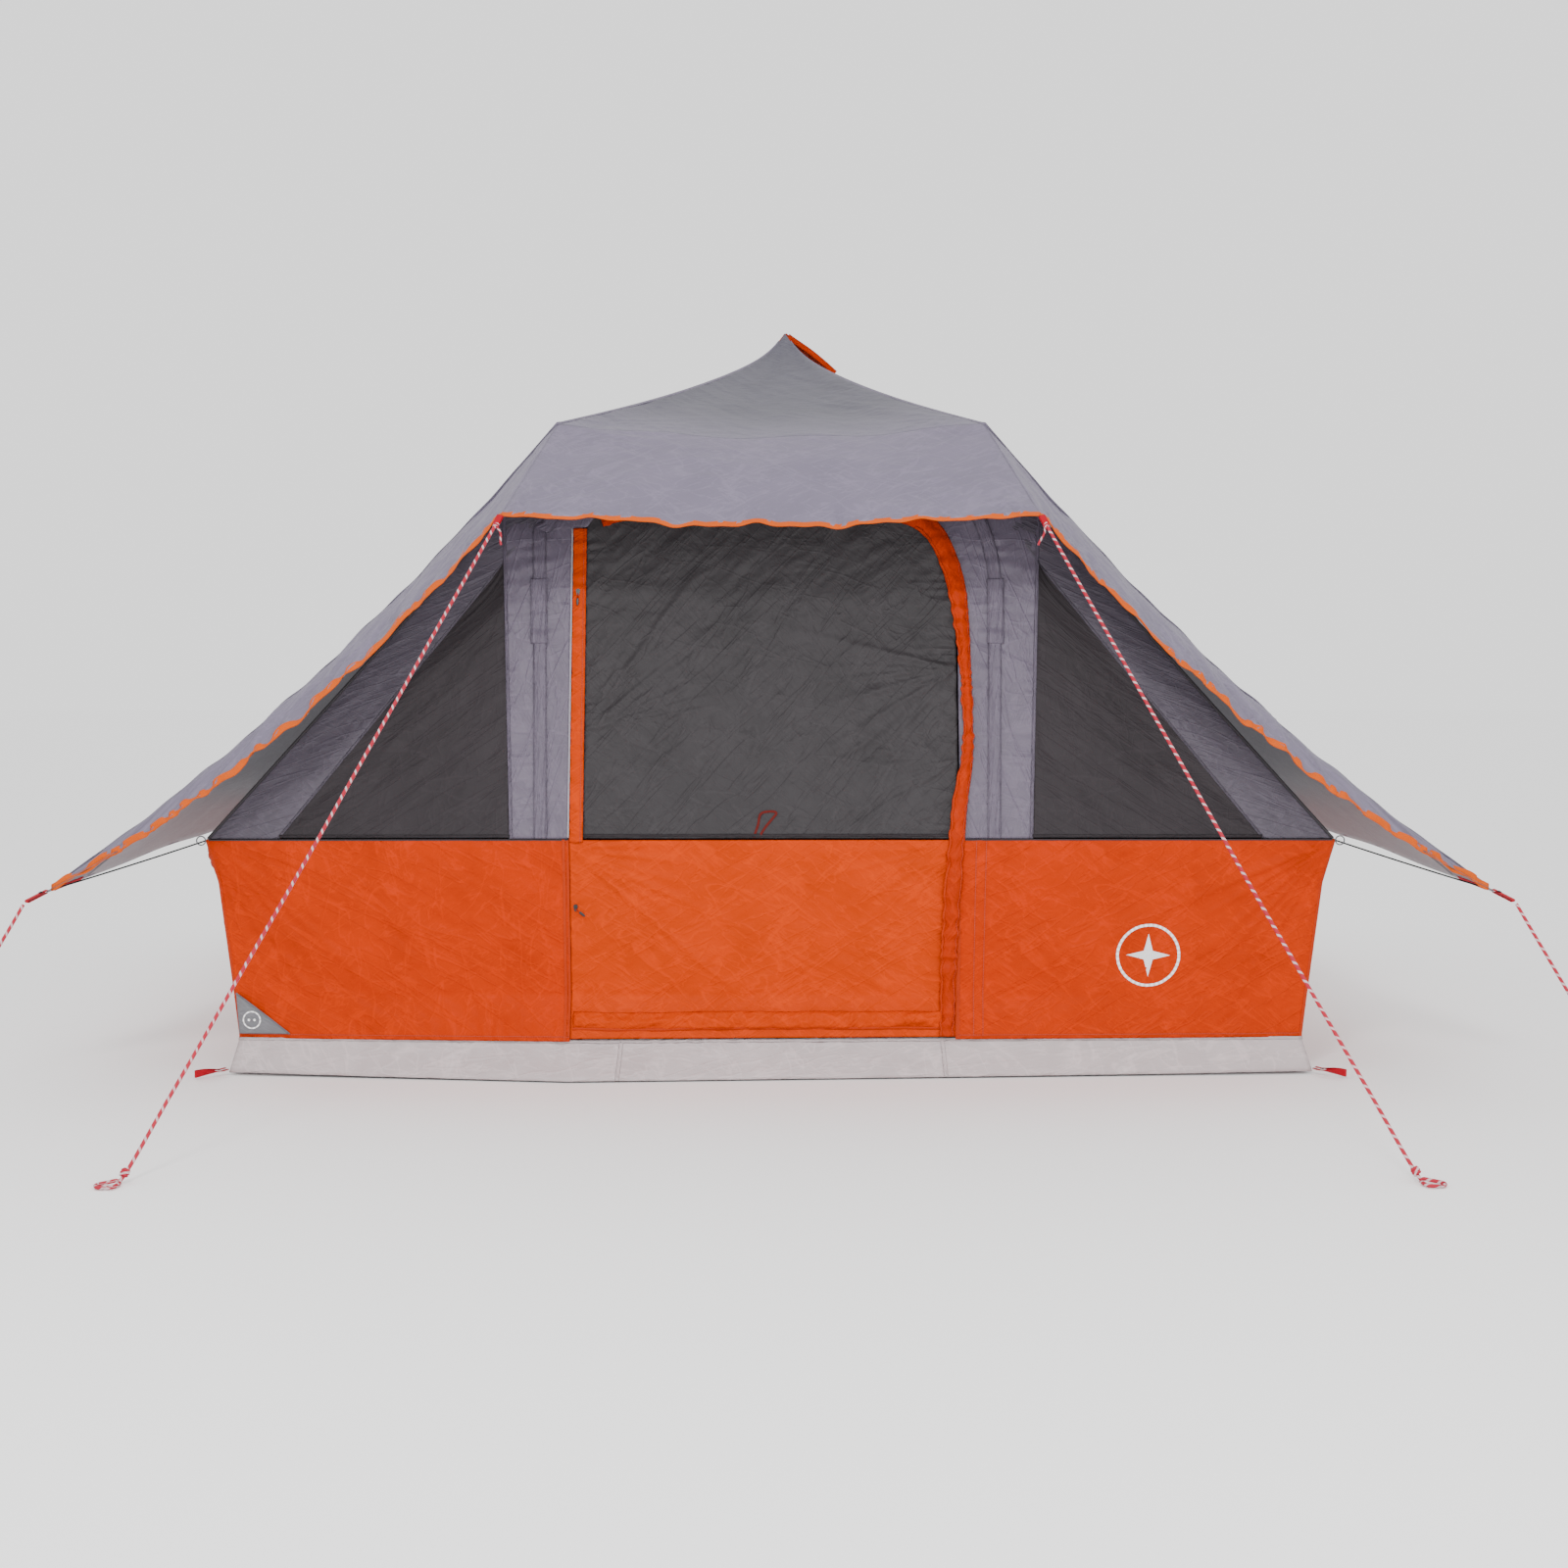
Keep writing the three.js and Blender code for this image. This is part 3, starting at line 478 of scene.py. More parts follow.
def sweep(name, centre, across, width, thick, material, body="tent", sides=8):
    """A flat band or cord along centre: its section is an oval, width across by thick. All in metres.
    across is one direction, or one for each point."""
    centre = np.array(centre, float)
    tangent = unit(np.gradient(centre, axis=0))
    across = np.broadcast_to(np.array(across, float), centre.shape)
    across = unit(across - tangent * (across * tangent).sum(1, keepdims=True))
    up = np.cross(tangent, across)
    width = np.broadcast_to(width, len(centre))[:, None, None]
    power = 0.35 if np.max(width) > 2.2 * thick else 1.0
    angles = 2 * np.pi * (np.arange(sides) + 0.5) / sides
    c, s = np.cos(angles), np.sin(angles)
    c, s = np.sign(c) * np.abs(c) ** power, np.sign(s) * np.abs(s) ** power
    ring = across[:, None] * c[None, :, None] * width / 2 + up[:, None] * s[None, :, None] * thick / 2
    verts = (centre[:, None] + ring).reshape(-1, 3)
    uvs = [(k / sides, along) for along in distance_along(centre) for k in range(sides)]
    faces = []
    for i in range(len(centre) - 1):
        for k in range(sides):
            a, b = i * sides + k, i * sides + (k + 1) % sides
            faces.append([a, b, b + sides, a + sides])
    faces.append(list(range(sides))[::-1])
    faces.append([(len(centre) - 1) * sides + k for k in range(sides)])
    return link(name, verts, faces, uvs, material, body)


def smooth_path(points, count):
    """A Catmull-Rom curve through points, as evenly spaced points."""
    p = np.array(points, float)
    p = np.vstack([2 * p[0] - p[1], p, 2 * p[-1] - p[-2]])
    out = []
    for i in range(1, len(p) - 2):
        t = np.linspace(0, 1, 24, endpoint=False)[:, None]
        a, b, c, d = p[i - 1], p[i], p[i + 1], p[i + 2]
        bend = (2 * a - 5 * b + 4 * c - d) * t**2 + (3 * b - a - 3 * c + d) * t**3
        out.append(0.5 * (2 * b + (c - a) * t + bend))
    dense = np.vstack(out + [p[-2][None]])
    length = distance_along(dense)
    even = np.linspace(0, length[-1], count)
    return np.stack([np.interp(even, length, dense[:, k]) for k in range(3)], 1)


def on_panel(name, panel, route, width, material, body="tent", lift=0.0012, thick=0.0012, count=80):
    """A band that lies on a panel along a route of (s, t) fractions."""
    route = np.array(route, float)
    step = distance_along(route)
    even = np.linspace(0, step[-1], count)
    s, t = np.interp(even, step, route[:, 0]), np.interp(even, step, route[:, 1])
    centre, normal = panel.at(s, t, lift)
    tangent = np.gradient(centre, axis=0)
    return sweep(name, centre, np.cross(normal, tangent), width, thick, material, body)


def edge_band(name, panel, side, width, material, body="tent", thick=0.004, inwards=0.3, count=140):
    """Binding folded over one edge of a panel. side is one of s0, s1, t0, t1."""
    fixed = 0.0 if side[1] == "0" else 1.0
    run = np.linspace(0, 1, count)
    s, t = (np.full(count, fixed), run) if side[0] == "s" else (run, np.full(count, fixed))
    centre, normal = panel.at(s, t)
    inner = 0.04 if side[1] == "0" else 0.96
    s2, t2 = (np.full(count, inner), run) if side[0] == "s" else (run, np.full(count, inner))
    way = unit(panel.at(s2, t2)[0] - centre, 1e-9)
    return sweep(name, centre + way * width * inwards, way, width, thick, material, body)


# ---------------- shape of the tent, in millimetres

def mirror(p, sx, sy=1):
    return np.array([p[0] * sx, p[1] * sy, p[2]])


def hung(a, b, t, sag):
    t = np.asarray(t, float)[..., None]
    p = a + (b - a) * t
    wander = (4 * np.sin(37 * t) + 3 * np.sin(83 * t)) * np.sin(np.pi * t)
    return p - np.array([0, 0, 4 * sag]) * t * (1 - t) + np.array([0, 0, 1]) * wander


def ridge(sx, t):
    return hung(mirror(SHOULDER, sx, -1), mirror(TIP, sx, -1), t, RIDGE_SAG)


def trim(sx, t):
    return hung(mirror(CANOPY_CORNER, sx, -1), mirror(TIP, sx, -1), t, TRIM_SAG)


def cone(distance):
    """How far the roof rises over the pole's cap, by the distance from the pole."""
    return CONE_HEIGHT * np.exp(-distance / CONE_REACH)


def from_peak(edge, count, sag=0.0, start=0.0):
    """Cloth from the peak to each point of an edge: nearly flat, with a small cone over the pole."""
    r = np.linspace(start, 1, count)[None, :, None]
    edge = edge[:, None, :]
    points = SPREAD + (edge - SPREAD) * r
    distance = np.linalg.norm((edge - SPREAD)[..., :2], axis=2) * r[..., 0]
    points[..., 2] += cone(distance) - ROOF_DIP * np.sin(np.pi * r[..., 0])
    across = np.linspace(0, 1, len(edge))[:, None]
    points[..., 2] -= sag * np.sin(np.pi * across) * np.sin(np.pi * r[..., 0])
    return points


HALF_WIDTHS = [(0, 1738), (TRAY_TOP, 1707), (300, 1724), (620, 1756), (WALL_TOP, 1788)]


def half_width(z):
    return np.interp(z, *zip(*HALF_WIDTHS))


def above_wall(z):
    """0 at the top of the lower wall, 1 at the inner tent's shoulder."""
    return (z - WALL_TOP) / (INNER_SHOULDER[2] - WALL_TOP)


def front_depth(z):
    """How far in front of the middle the front wall is."""
    z = np.asarray(z, float)
    foot, foot_out = 122, 1715
    low = foot_out + (WALL_OUT - foot_out) * (z - foot) / (WALL_TOP - foot)
    high = WALL_OUT - (WALL_OUT - INNER_SHOULDER[1]) * above_wall(z)
    return np.where(z <= WALL_TOP, low, high)


def seam_x(z):
    """How far out the seam between the front and a side of the inner tent is."""
    return WALL_OUT - (WALL_OUT - INNER_SHOULDER[0]) * above_wall(z)


def left_corner(z):
    return -half_width(z)


def wall_grid(left, right, bottom, top, columns, rows, proud=0.0, bow=True):
    """Part of the front wall; left and right are functions of the height."""
    z = np.linspace(bottom, top, rows)
    s = np.linspace(0, 1, columns)[:, None]
    x = left(z)[None] * (1 - s) + right(z)[None] * s
    depth = front_depth(z)[None] + np.zeros_like(x)
    low = z[None] <= WALL_TOP
    reach = np.abs(x / half_width(z)[None])
    depth = np.where(low, depth + (half_width(z)[None] - depth) * reach**6, depth)
    points = np.stack([x, -depth - proud, z[None] + np.zeros_like(x)], 2)
    return bowed(points) if bow else points


def bowed(points):
    """The foot of the front, pulled forward most at the seam by the door."""
    x, z = points[..., 0], points[..., 2]
    reach = np.interp(x, [-1740, DOOR_LEFT, 1740], [0, 1, 0])
    points[..., 1] -= reach * np.interp(z, [0, TRAY_TOP, 255], [150, 72, 0])
    return points


def constant(value):
    return lambda z: np.full_like(z, float(value))


# ---------------- ropes

CANOPY_GUY = [
    (842, -1968, 1742), (921, -2093, 1568), (1001, -2219, 1394), (1080, -2344, 1220), (1160, -2470, 1047),
    (1239, -2595, 874), (1318, -2720, 702), (1398, -2846, 531), (1477, -2971, 361), (1557, -3097, 191),
    (1636, -3222, 22), (1658, -3236, 9), (1691, -3258, 5), (1695, -3272, 5), (1692, -3285, 5),
    (1683, -3295, 5), (1669, -3300, 5), (1656, -3297, 5), (1645, -3287, 5), (1642, -3249, 5),
]
TIP_GUY = [
    (2263, -2098, 586), (2289, -2124, 530), (2316, -2151, 473), (2343, -2178, 416), (2369, -2205, 360),
    (2396, -2231, 304), (2423, -2258, 248), (2450, -2285, 191), (2476, -2312, 135), (2503, -2338, 78),
    (2530, -2365, 22), (2544, -2380, 8), (2558, -2396, 5), (2567, -2414, 5), (2563, -2435, 5),
    (2547, -2444, 5), (2529, -2438, 5), (2522, -2419, 5), (2525, -2400, 5), (2530, -2388, 5),
]
ROPE = 0.010


def knot(name, centre, along, size, material):
    """A rope knot: a short coil of three turns wound tight round the rope."""
    along = unit(np.array(along, float))
    side = unit(np.cross(along, (0.3, 0.9, 0.2)))
    other = np.cross(along, side)
    t = np.linspace(0, 1, 60)
    angle = 2 * np.pi * 3 * t
    radius = size * (0.9 + 0.25 * np.sin(np.pi * t))
    spot = np.array(centre)[None] + along[None] * ((t - 0.5) * size * 2.6)[:, None]
    turns = (side[None] * np.cos(angle)[:, None] + other[None] * np.sin(angle)[:, None]) * radius[:, None]
    return sweep(name, spot + turns, along, size, size, material)


def guy_rope(name, route, sx, material):
    points = np.array([mirror(np.array(p, float), sx) for p in route]) / 1000
    path = smooth_path(points, 220)
    piece = sweep(name, path, (1.0, 0.2, 0.1), ROPE, ROPE, material, sides=10)
    length = float(distance_along(path)[-1])
    spot, way = points[10] + (0, 0, 0.004), points[9] - points[10]
    ground_knot = knot(name + "_ground_knot", spot, way, 0.0075, material)
    stand_in(piece, name)
    return points


def hanging_tail(name, start, material, lean):
    """The rope's short end, which hangs from its knot."""
    length, diameter = 0.055, 0.007
    t = np.linspace(0, 1, 24)[:, None]
    drop = np.array([lean * 0.3, -0.02, -1.0]) * length
    wave = np.array([0.004, 0.003, 0]) * np.sin(5 * t)
    sweep(name, np.array(start) + drop * t + wave, (1.0, 0, 0), diameter, diameter, material)


def corner_cord(sx, sy, end, material):
    a = mirror(np.array([1789.0, 1789, 756]), sx, sy) / 1000
    b = mirror(np.array([2178.0, 2020, 632]), sx, sy) / 1000
    t = np.linspace(0, 1, 40)[:, None]
    path = a + (b - a) * t - np.array([0, 0, 0.002]) * 4 * t * (1 - t)
    piece = sweep(f"corner_cord_{end}_woven", path, (0, 0, 1.0), 0.005, 0.005, material)
    stand_in(piece, f"corner_cord_{end}")
    length = float(distance_along(path)[-1])


def add_ropes(m):
    for side, sx in SIDES:
        top = guy_rope(f"guy_rope_canopy_{side}", CANOPY_GUY, sx, m["rope"])
        guy_rope(f"guy_rope_tip_{side}", TIP_GUY, sx, m["rope"])
        knot(f"canopy_knot_{side}", top[0] + (0, 0, -0.004), top[0] - top[1], 0.006, m["rope"])
        hanging_tail(f"canopy_tail_{side}", top[0] + (-0.004 * sx, -0.006, -0.01), m["rope"], lean=-sx)
        for end, sy in ENDS:
            corner_cord(sx, sy, f"{end}_{side}", m["elastic"])


# ---------------- flysheet

def hem_line(sx, count):
    s = np.linspace(-1, 1, count)
    x = HEM_MIDDLE + (TIP[0] - HEM_MIDDLE) * s * s
    z = HEM_MIDDLE_Z + (TIP[2] - HEM_MIDDLE_Z) * s * s
    wave = 4 * np.sin(s * 17) * (1 - s * s)
    return np.stack([sx * (x - 3 + wave), s * TIP[1], z + wave], 1)


def fly_roof(m):
    left, right = mirror(SHOULDER, -1, -1), mirror(SHOULDER, 1, -1)
    s = np.linspace(0, 1, 150)[:, None]
    crease = left + (right - left) * s
    crease[:, 1] -= 14 * np.sin(np.pi * s[:, 0])
    crease[:, 2] -= CREASE_SAG * np.sin(np.pi * s[:, 0]) + 5 * np.sin(s[:, 0] * 19)
    roof = Panel(from_peak(crease, 120, 8), (0, -0.3, 1))
    u, v = roof.points[..., 0], roof.v
    folds = pull(u, v, (0.055, 0.0), (0.0, 1.0), 9, 70, 1.3, 0.03, 0.006, 3)
    folds += creases(u, v, 5, 0.16, 0.010, 62, 3.5) * np.clip(v * 2, 0, 1)
    folds += creases(u, v, 7, 0.05, 0.004, 50, 4) * np.clip(v * 2, 0, 1)
    folds += pull(u, v, (-0.69, 1.66), (0.2, 1.0), 5, 60, 0.8, 0.02, 0.006, 8)
    folds += pull(u, v, (0.69, 1.66), (-0.2, 1.0), 5, 60, 0.8, 0.02, 0.006, 9)
    roof.fold(folds, 4, 3)
    roof.build("roof_front_cloth", m["roof"], replaces=["fly_roof_front"], lining=m["fly_inside_painted_glow"])


def canopy(m):
    s, t = fractions(170, 60)
    x = ((1 - t) * SHOULDER[0] + t * CANOPY_CORNER[0]) * (2 * s - 1)
    y = -(SHOULDER[1] * (1 - t) + CANOPY_CORNER[1] * t) + 0 * s
    z = SHOULDER[2] * (1 - t) + CANOPY_CORNER[2] * t + 0 * s
    arch = np.sin(np.pi * s)
    y = y - 14 * arch * (1 - t) - 6 * arch * t
    z = z - (CREASE_SAG * arch + 5 * np.sin(s * 19)) * (1 - t) + 26 * np.sin(np.pi * t) * arch
    waves = 6 * np.sin(23 * s) + 4 * np.sin(61 * s + 1) + 2.5 * np.sin(103 * s)
    z = z - (32 * arch + waves) * arch**0.5 * t**3
    panel = Panel(np.stack([x, y, z], 2), (0, -1, 0.6))
    u, v = panel.points[..., 0] + 0.83, panel.v
    folds = creases(u, v, 15, 0.12, 0.007, 12, 3.0) + creases(u, v, 18, 0.04, 0.003, 30, 4.0)
    folds += pull(u, v, (0.0, 0.53), (0.8, 0.1), 6, 60, 0.9, 0.02, 0.007, 11)
    folds += pull(u, v, (1.66, 0.53), (0.8, 0.1), 6, 60, 0.9, 0.02, 0.007, 12)
    folds += pull(u, v, (0.14, 0.0), (0.9, 0.35), 5, 70, 0.7, 0.02, 0.006, 13)
    folds += pull(u, v, (1.52, 0.0), (0.8, 0.35), 5, 70, 0.7, 0.02, 0.006, 14)
    folds += puckers(u, 0.53 - v, 0.21, 0.006, 0.09, 15)
    panel.fold(folds, 3, 0.001)
    panel.build("canopy_cloth", m["fly"], replaces=["fly_canopy"], lining=m["fly_inside_painted_glow"])
    edge_band("canopy_trim", panel, "t1", 0.019, m["trim"], thick=0.005, count=220)


def wing(m, side, sx):
    t = np.linspace(0, 0.985, 150)
    upper, lower = ridge(sx, t), trim(sx, t)
    lower[:, 2] += 5 * np.sin(t * 40) * np.sin(np.pi * t) + 4 * np.sin(t * 95)
    w = np.linspace(0, 1, 40)[None, :, None]
    points = upper[:, None] * (1 - w) + lower[:, None] * w
    bulge = 22 * np.sin(np.pi * w[..., 0]) * np.sin(np.pi * t)[:, None]
    points[..., 2] += bulge
    points[..., 1] -= bulge * 0.6
    panel = Panel(points, (0, -1, 0.5))
    u, v = panel.u, panel.v
    depth = v[:, -1:]
    folds = creases(u, v, 21 + sx, 0.09, 0.010, 60, 2.2) + creases(u, v, 27, 0.035, 0.004, 40, 3)
    folds += puckers(u, depth - v, 0.12, 0.007, 0.08, 23 + sx)
    folds += pull(u, v, (0.02, 0.5), (0.8, 0.25), 6, 70, 1.1, 0.02, 0.008, 25 + sx)
    panel.fold(folds * np.clip(depth / 0.15, 0, 1), 5, 0.001)
    panel.build(f"wing_{side}_cloth", m["fly"], replaces=[f"fly_wing_{side}"], lining=m["fly_inside_painted_glow"])
    edge_band(f"wing_trim_{side}", panel, "t1", 0.022, m["trim"], thick=0.005, count=220)


def fly_side(m, side, sx):
    t = np.linspace(0, 1, 70)
    edge = np.vstack([ridge(sx, t)[:-1], hem_line(sx, 130)])
    edge[69:, 0] -= sx * 2
    panel = Panel(from_peak(edge, 70, 18, 0.02), (sx, 0, 0.8))
    u, v = panel.points[..., 1] + 2.1, panel.v
    folds = creases(u, v, 31 + sx, 0.2, 0.010, 80, 3.0)
    folds += pull(u, v, (0.05, 2.2), (1.4, 1.2), 7, 60, 1.8, 0.03, 0.010, 33)
    folds += pull(u, v, (4.15, 2.2), (2.8, 1.2), 7, 60, 1.8, 0.03, 0.010, 34)
    panel.fold(folds, 6, 5, 0.006)
    panel.build(f"fly_side_{side}_cloth", m["fly"], replaces=[f"fly_side_{side}"], thick=0.002,
                lining=m["fly_inside_painted_glow"])
    run = np.linspace(0.36, 1.0, 120)
    centre = panel.at(run, np.full(120, 1.0))[0]
    inner = panel.at(run, np.full(120, 0.95))[0] - centre
    sweep(f"hem_binding_{side}", centre + inner * 0.06, inner, 0.016, 0.004, m["fly"])
    strip, lift = panel.at(np.linspace(0.350, 0.372, 40), np.full(40, 0.992), -0.006)
    sweep(f"tip_strap_{side}", strip, np.cross(lift, np.gradient(strip, axis=0)), 0.022, 0.002, m["webbing"])


def fly_rear(m):
    s = np.linspace(1, -1, 150)
    y = REAR_MIDDLE + (TIP[1] - REAR_MIDDLE) * s * s
    z = HEM_MIDDLE_Z + (TIP[2] - HEM_MIDDLE_Z) * s * s
    wave = 4 * np.sin(s * 15) * (1 - s * s)
    edge = np.stack([s * TIP[0], y + wave, z + wave], 1)
    panel = Panel(from_peak(edge, 90, 18, 0.02), (0, 1, 0.8))
    u, v = panel.points[..., 0] + 2.3, panel.v
    folds = creases(u, v, 41, 0.2, 0.010, 85, 3.0)
    folds += pull(u, v, (0.05, 3.2), (1.6, 1.2), 8, 60, 1.8, 0.03, 0.010, 43)
    folds += pull(u, v, (4.55, 3.2), (3.0, 1.2), 8, 60, 1.8, 0.03, 0.010, 44)
    panel.fold(folds, 6, 5, 0.006)
    panel.build("fly_rear_cloth", m["fly"], replaces=["fly_rear"], thick=0.002, lining=m["fly_inside_painted_glow"])
    edge_band("hem_binding_rear", panel, "t1", 0.016, m["trim"])
    for k, edge in enumerate((0.004, 0.996)):
        on_panel(f"rear_seam_{k}", panel, [(edge, 0.05), (edge, 0.99)], 0.018, m["fly"], lift=0.003,
                 thick=0.003, count=160)


def ridge_seam(m, sx, side):
    """The folded seam down from the peak to the tip of the flysheet, over the door pole."""
    t = np.linspace(0, 1, 60)[:, None]
    shoulder = mirror(SHOULDER, sx, -1)
    r = t * 0.97 + 0.03
    top = SPREAD + (shoulder - SPREAD) * r
    top[:, 2] += cone(np.linalg.norm(shoulder[:2] - SPREAD[:2]) * r[:, 0])
    top[:, 2] -= ROOF_DIP * np.sin(np.pi * r[:, 0])
    path = np.vstack([top[:-1], ridge(sx, np.linspace(0, 0.985, 140))]) / 1000
    sweep(f"ridge_seam_{side}", path + (0, 0, 0.001), (sx * 0.75, -0.6, 0.0), 0.012, 0.004, m["fly"])


def tip_patch(m, side, sx):
    """The dark reinforcement under the front tip, between the trim and the side's hem."""
    reach = np.linspace(0, 1, 20)
    s = -1 + 0.115 * reach
    hem_x = sx * (HEM_MIDDLE + (TIP[0] - HEM_MIDDLE) * s * s - 6)
    hem = np.stack([hem_x, s * TIP[1] - 4, HEM_MIDDLE_Z + (TIP[2] - HEM_MIDDLE_Z) * s * s + 2], 1)
    base = np.linspace(0, 1, 24)[:, None, None]
    points = trim(sx, 1 - 0.16 * reach)[None] * base + hem[None] * (1 - base)
    points[..., 1] -= 6
    points[:, 0] = mirror(TIP, sx, -1) + (0, -6, 0)
    patch = Panel(points, (0, -1, -0.4))
    patch.build(f"tip_patch_{side}", m["tip_patch"], sheet=False)
    edge_band(f"tip_patch_edge_{side}", patch, "t1", 0.012, m["tip_patch"], thick=0.003, count=40)


def vent(m):
    """The curved hood behind the peak, its binding, and a lip along one edge."""
    angle = np.linspace(math.radians(-8), math.radians(188), 60)[:, None]
    r = np.linspace(0.02, 1, 30)[None, :]
    back = np.clip(np.sin(angle), 0, 1)
    left = np.clip(-np.cos(angle), 0, 1)
    half_wide, front, behind, top = 200, 40, 290, 2624
    x = SPREAD[0] + half_wide * np.cos(angle) * r * (1 - 0.12 * r * back)
    y = 14 + (front - 14 + behind * back**1.5) * r
    drop = 152 + 62 * back**2 + 70 * left * (1 - back) ** 2
    crown = 14 * np.sin(np.pi * r) * (1 - left)
    z = top - drop * r**0.85 + crown - 4 * np.cos(9 * angle) * r * back
    hood = Panel(np.stack([x, y, z], 2), (0, 0.5, 1))
    hood.build("vent_hood_cloth", m["orange"], "vent_hood", ["vent_hood"], thick=0.0015)
    edge_band("vent_hood_binding", hood, "t1", 0.012, m["trim"], "vent_hood", count=90)
    lip = hood.points[0, 1:] + (0, -0.002, -0.006)
    sweep("vent_hood_lip", lip, (0, 0, 1.0), 0.022, 0.003, m["flap_orange"], "vent_hood")


def add_flysheet(m):
    fly_roof(m)
    canopy(m)
    fly_rear(m)
    vent(m)
    for side, sx in SIDES:
        wing(m, side, sx)
        fly_side(m, side, sx)
        ridge_seam(m, sx, side)
        tip_patch(m, side, sx)


# ---------------- inner tent

def wall_folds(panel, seed, left=True, right=True):
    """The folds of a lower wall: pulled from its top corners, crinkled all over, gathered at its seams."""
    u, v = panel.u, panel.v
    wide, tall = float(u.max()), float(v.max())
    lean = 1 if right else -1
    folds = creases(u, v, seed, 0.11, 0.010, 28 * lean, 3.0)
    folds += creases(u, v, seed + 5, 0.05, 0.006, -30 * lean, 2.5)
    folds += creases(u, v, seed + 9, 0.030, 0.0045, 35 * lean, 5.0)
    if left:
        folds += pull(u, v, (0, tall), (0.5, 0.1), 9, 65, 0.9, 0.014, 0.014, seed + 1)
    if right:
        folds += pull(u, v, (wide, tall), (wide - 0.5, 0.1), 9, 65, 0.9, 0.014, 0.014, seed + 2)
    folds += puckers(u, tall - v, 0.14, 0.003, 0.07, seed + 3)
    folds += puckers(u, v, 0.11, 0.003, 0.06, seed + 4)
    return folds * inside_edges(u.shape, 4, 4)


def around(points, quarter):
    """The front wall's points turned to another side: 1 right, 2 rear, 3 left."""
    c, s = [(1, 0), (0, 1), (-1, 0), (0, -1)][quarter]
    x, y = points[..., 0], points[..., 1]
    return np.stack([c * x - s * y, s * x + c * y, points[..., 2]], -1)


OUT = [(0, -1, 0), (1, 0, 0), (0, 1, 0), (-1, 0, 0)]


def lower_walls(m):
    whole = wall_grid(left_corner, half_width, WALL_FOOT, WALL_HEAD, 300, 70, bow=False)
    for quarter, name in ((1, "right"), (2, "rear"), (3, "left")):
        panel = Panel(around(whole, quarter), OUT[quarter])
        panel.move(wall_folds(panel, 60 + quarter) - 0.002)
        panel.build(f"lower_wall_{name}_cloth", m["orange"], replaces=[f"lower_wall_{name}"])
        edge_band(f"wall_piping_{name}", panel, "t1", 0.006, m["piping"], thick=0.003)
        on_panel(f"wall_stitch_{name}", panel, [(0, 0.03), (1, 0.03)], 0.003, m["thread_orange"], count=200)
    left = Panel(wall_grid(left_corner, constant(DOOR_LEFT - 1.5), WALL_FOOT, WALL_HEAD, 160, 90), OUT[0])
    left.move(wall_folds(left, 71, right=False))
    left.build("lower_wall_front_left_cloth", m["orange"], replaces=["lower_wall_front_left"])
    right = Panel(wall_grid(constant(FRONT_RIGHT), half_width, WALL_FOOT, WALL_HEAD, 160, 90), OUT[0])
    seam = creases(right.v, right.u, 76, 0.03, 0.007, 80, 2) * np.exp(-np.abs(right.u - 0.05) / 0.05)
    right.move(wall_folds(right, 75, left=False) + seam)
    right.build("lower_wall_front_right_cloth", m["orange_right"], replaces=["lower_wall_front_right"])
    for panel, side in ((left, "left"), (right, "right")):
        edge_band(f"front_piping_{side}", panel, "t1", 0.005, m["piping"], thick=0.003)
        edge = "s0" if side == "left" else "s1"
        edge_band(f"corner_seam_{side}", panel, edge, 0.010, m["orange_tape"], thick=0.004)
        on_panel(f"front_stitch_{side}", panel, [(0, 0.02), (1, 0.02)], 0.003, m["thread_orange"], count=160)
    for k, s in enumerate((0.045, 0.072)):
        on_panel(f"door_side_stitch_{k}", right, [(s, 0.01), (s, 0.99)], 0.003, m["thread_orange"], count=120)
    on_panel("right_door_seam", right, [(0.0, 0.0), (0.0, 1.0)], 0.016, m["orange_tape"], count=120)
    on_panel("left_door_seam", left, [(0.985, 0.0), (0.985, 1.0)], 0.010, m["orange_tape"], count=120)
    emblem(m, right)


def emblem(m, panel):
    """A plain printed ring round a four-pointed star."""
    def spot(x, z):
        s = (x - FRONT_RIGHT) / (half_width(z) - FRONT_RIGHT)
        t = (z - WALL_FOOT) / (WALL_HEAD - WALL_FOOT)
        return panel.at(np.atleast_1d(s), np.atleast_1d(t), 0.0012)[0]

    cx, cz, ring = 1205, 385, 98
    angle = np.linspace(0, 2 * np.pi, 97)
    path = np.vstack([spot(cx + ring * math.cos(a), cz + ring * math.sin(a)) for a in angle])
    centre = spot(cx, cz)
    sweep("printed_ring", path, centre - path, 0.009, 0.0008, m["print"])
    radius = [70, 20] * 4
    eighth = math.pi / 4
    star = [(cx + r * math.sin(k * eighth), cz + r * math.cos(k * eighth)) for k, r in enumerate(radius)]
    verts, uvs = [centre[0]], [(0, 0)]
    for x, z in star:
        verts.append(spot(x, z)[0])
        uvs.append((x / 1000, z / 1000))
    faces = [[0, 1 + (k + 1) % 8, 1 + k] for k in range(8)]
    piece = link("printed_star", verts, faces, uvs, m["print"], "tent", smooth=False)
    piece.modifiers.new("thickness", "SOLIDIFY").thickness = 0.0008


def up_window(z):
    """0 at the foot of a window, 1 at its head."""
    return (z - WINDOW_FOOT) / (WINDOW_HEAD - WINDOW_FOOT)


def window_line(z):
    """How far out a window's sloping edge is."""
    return 1562 - 703 * up_window(z)


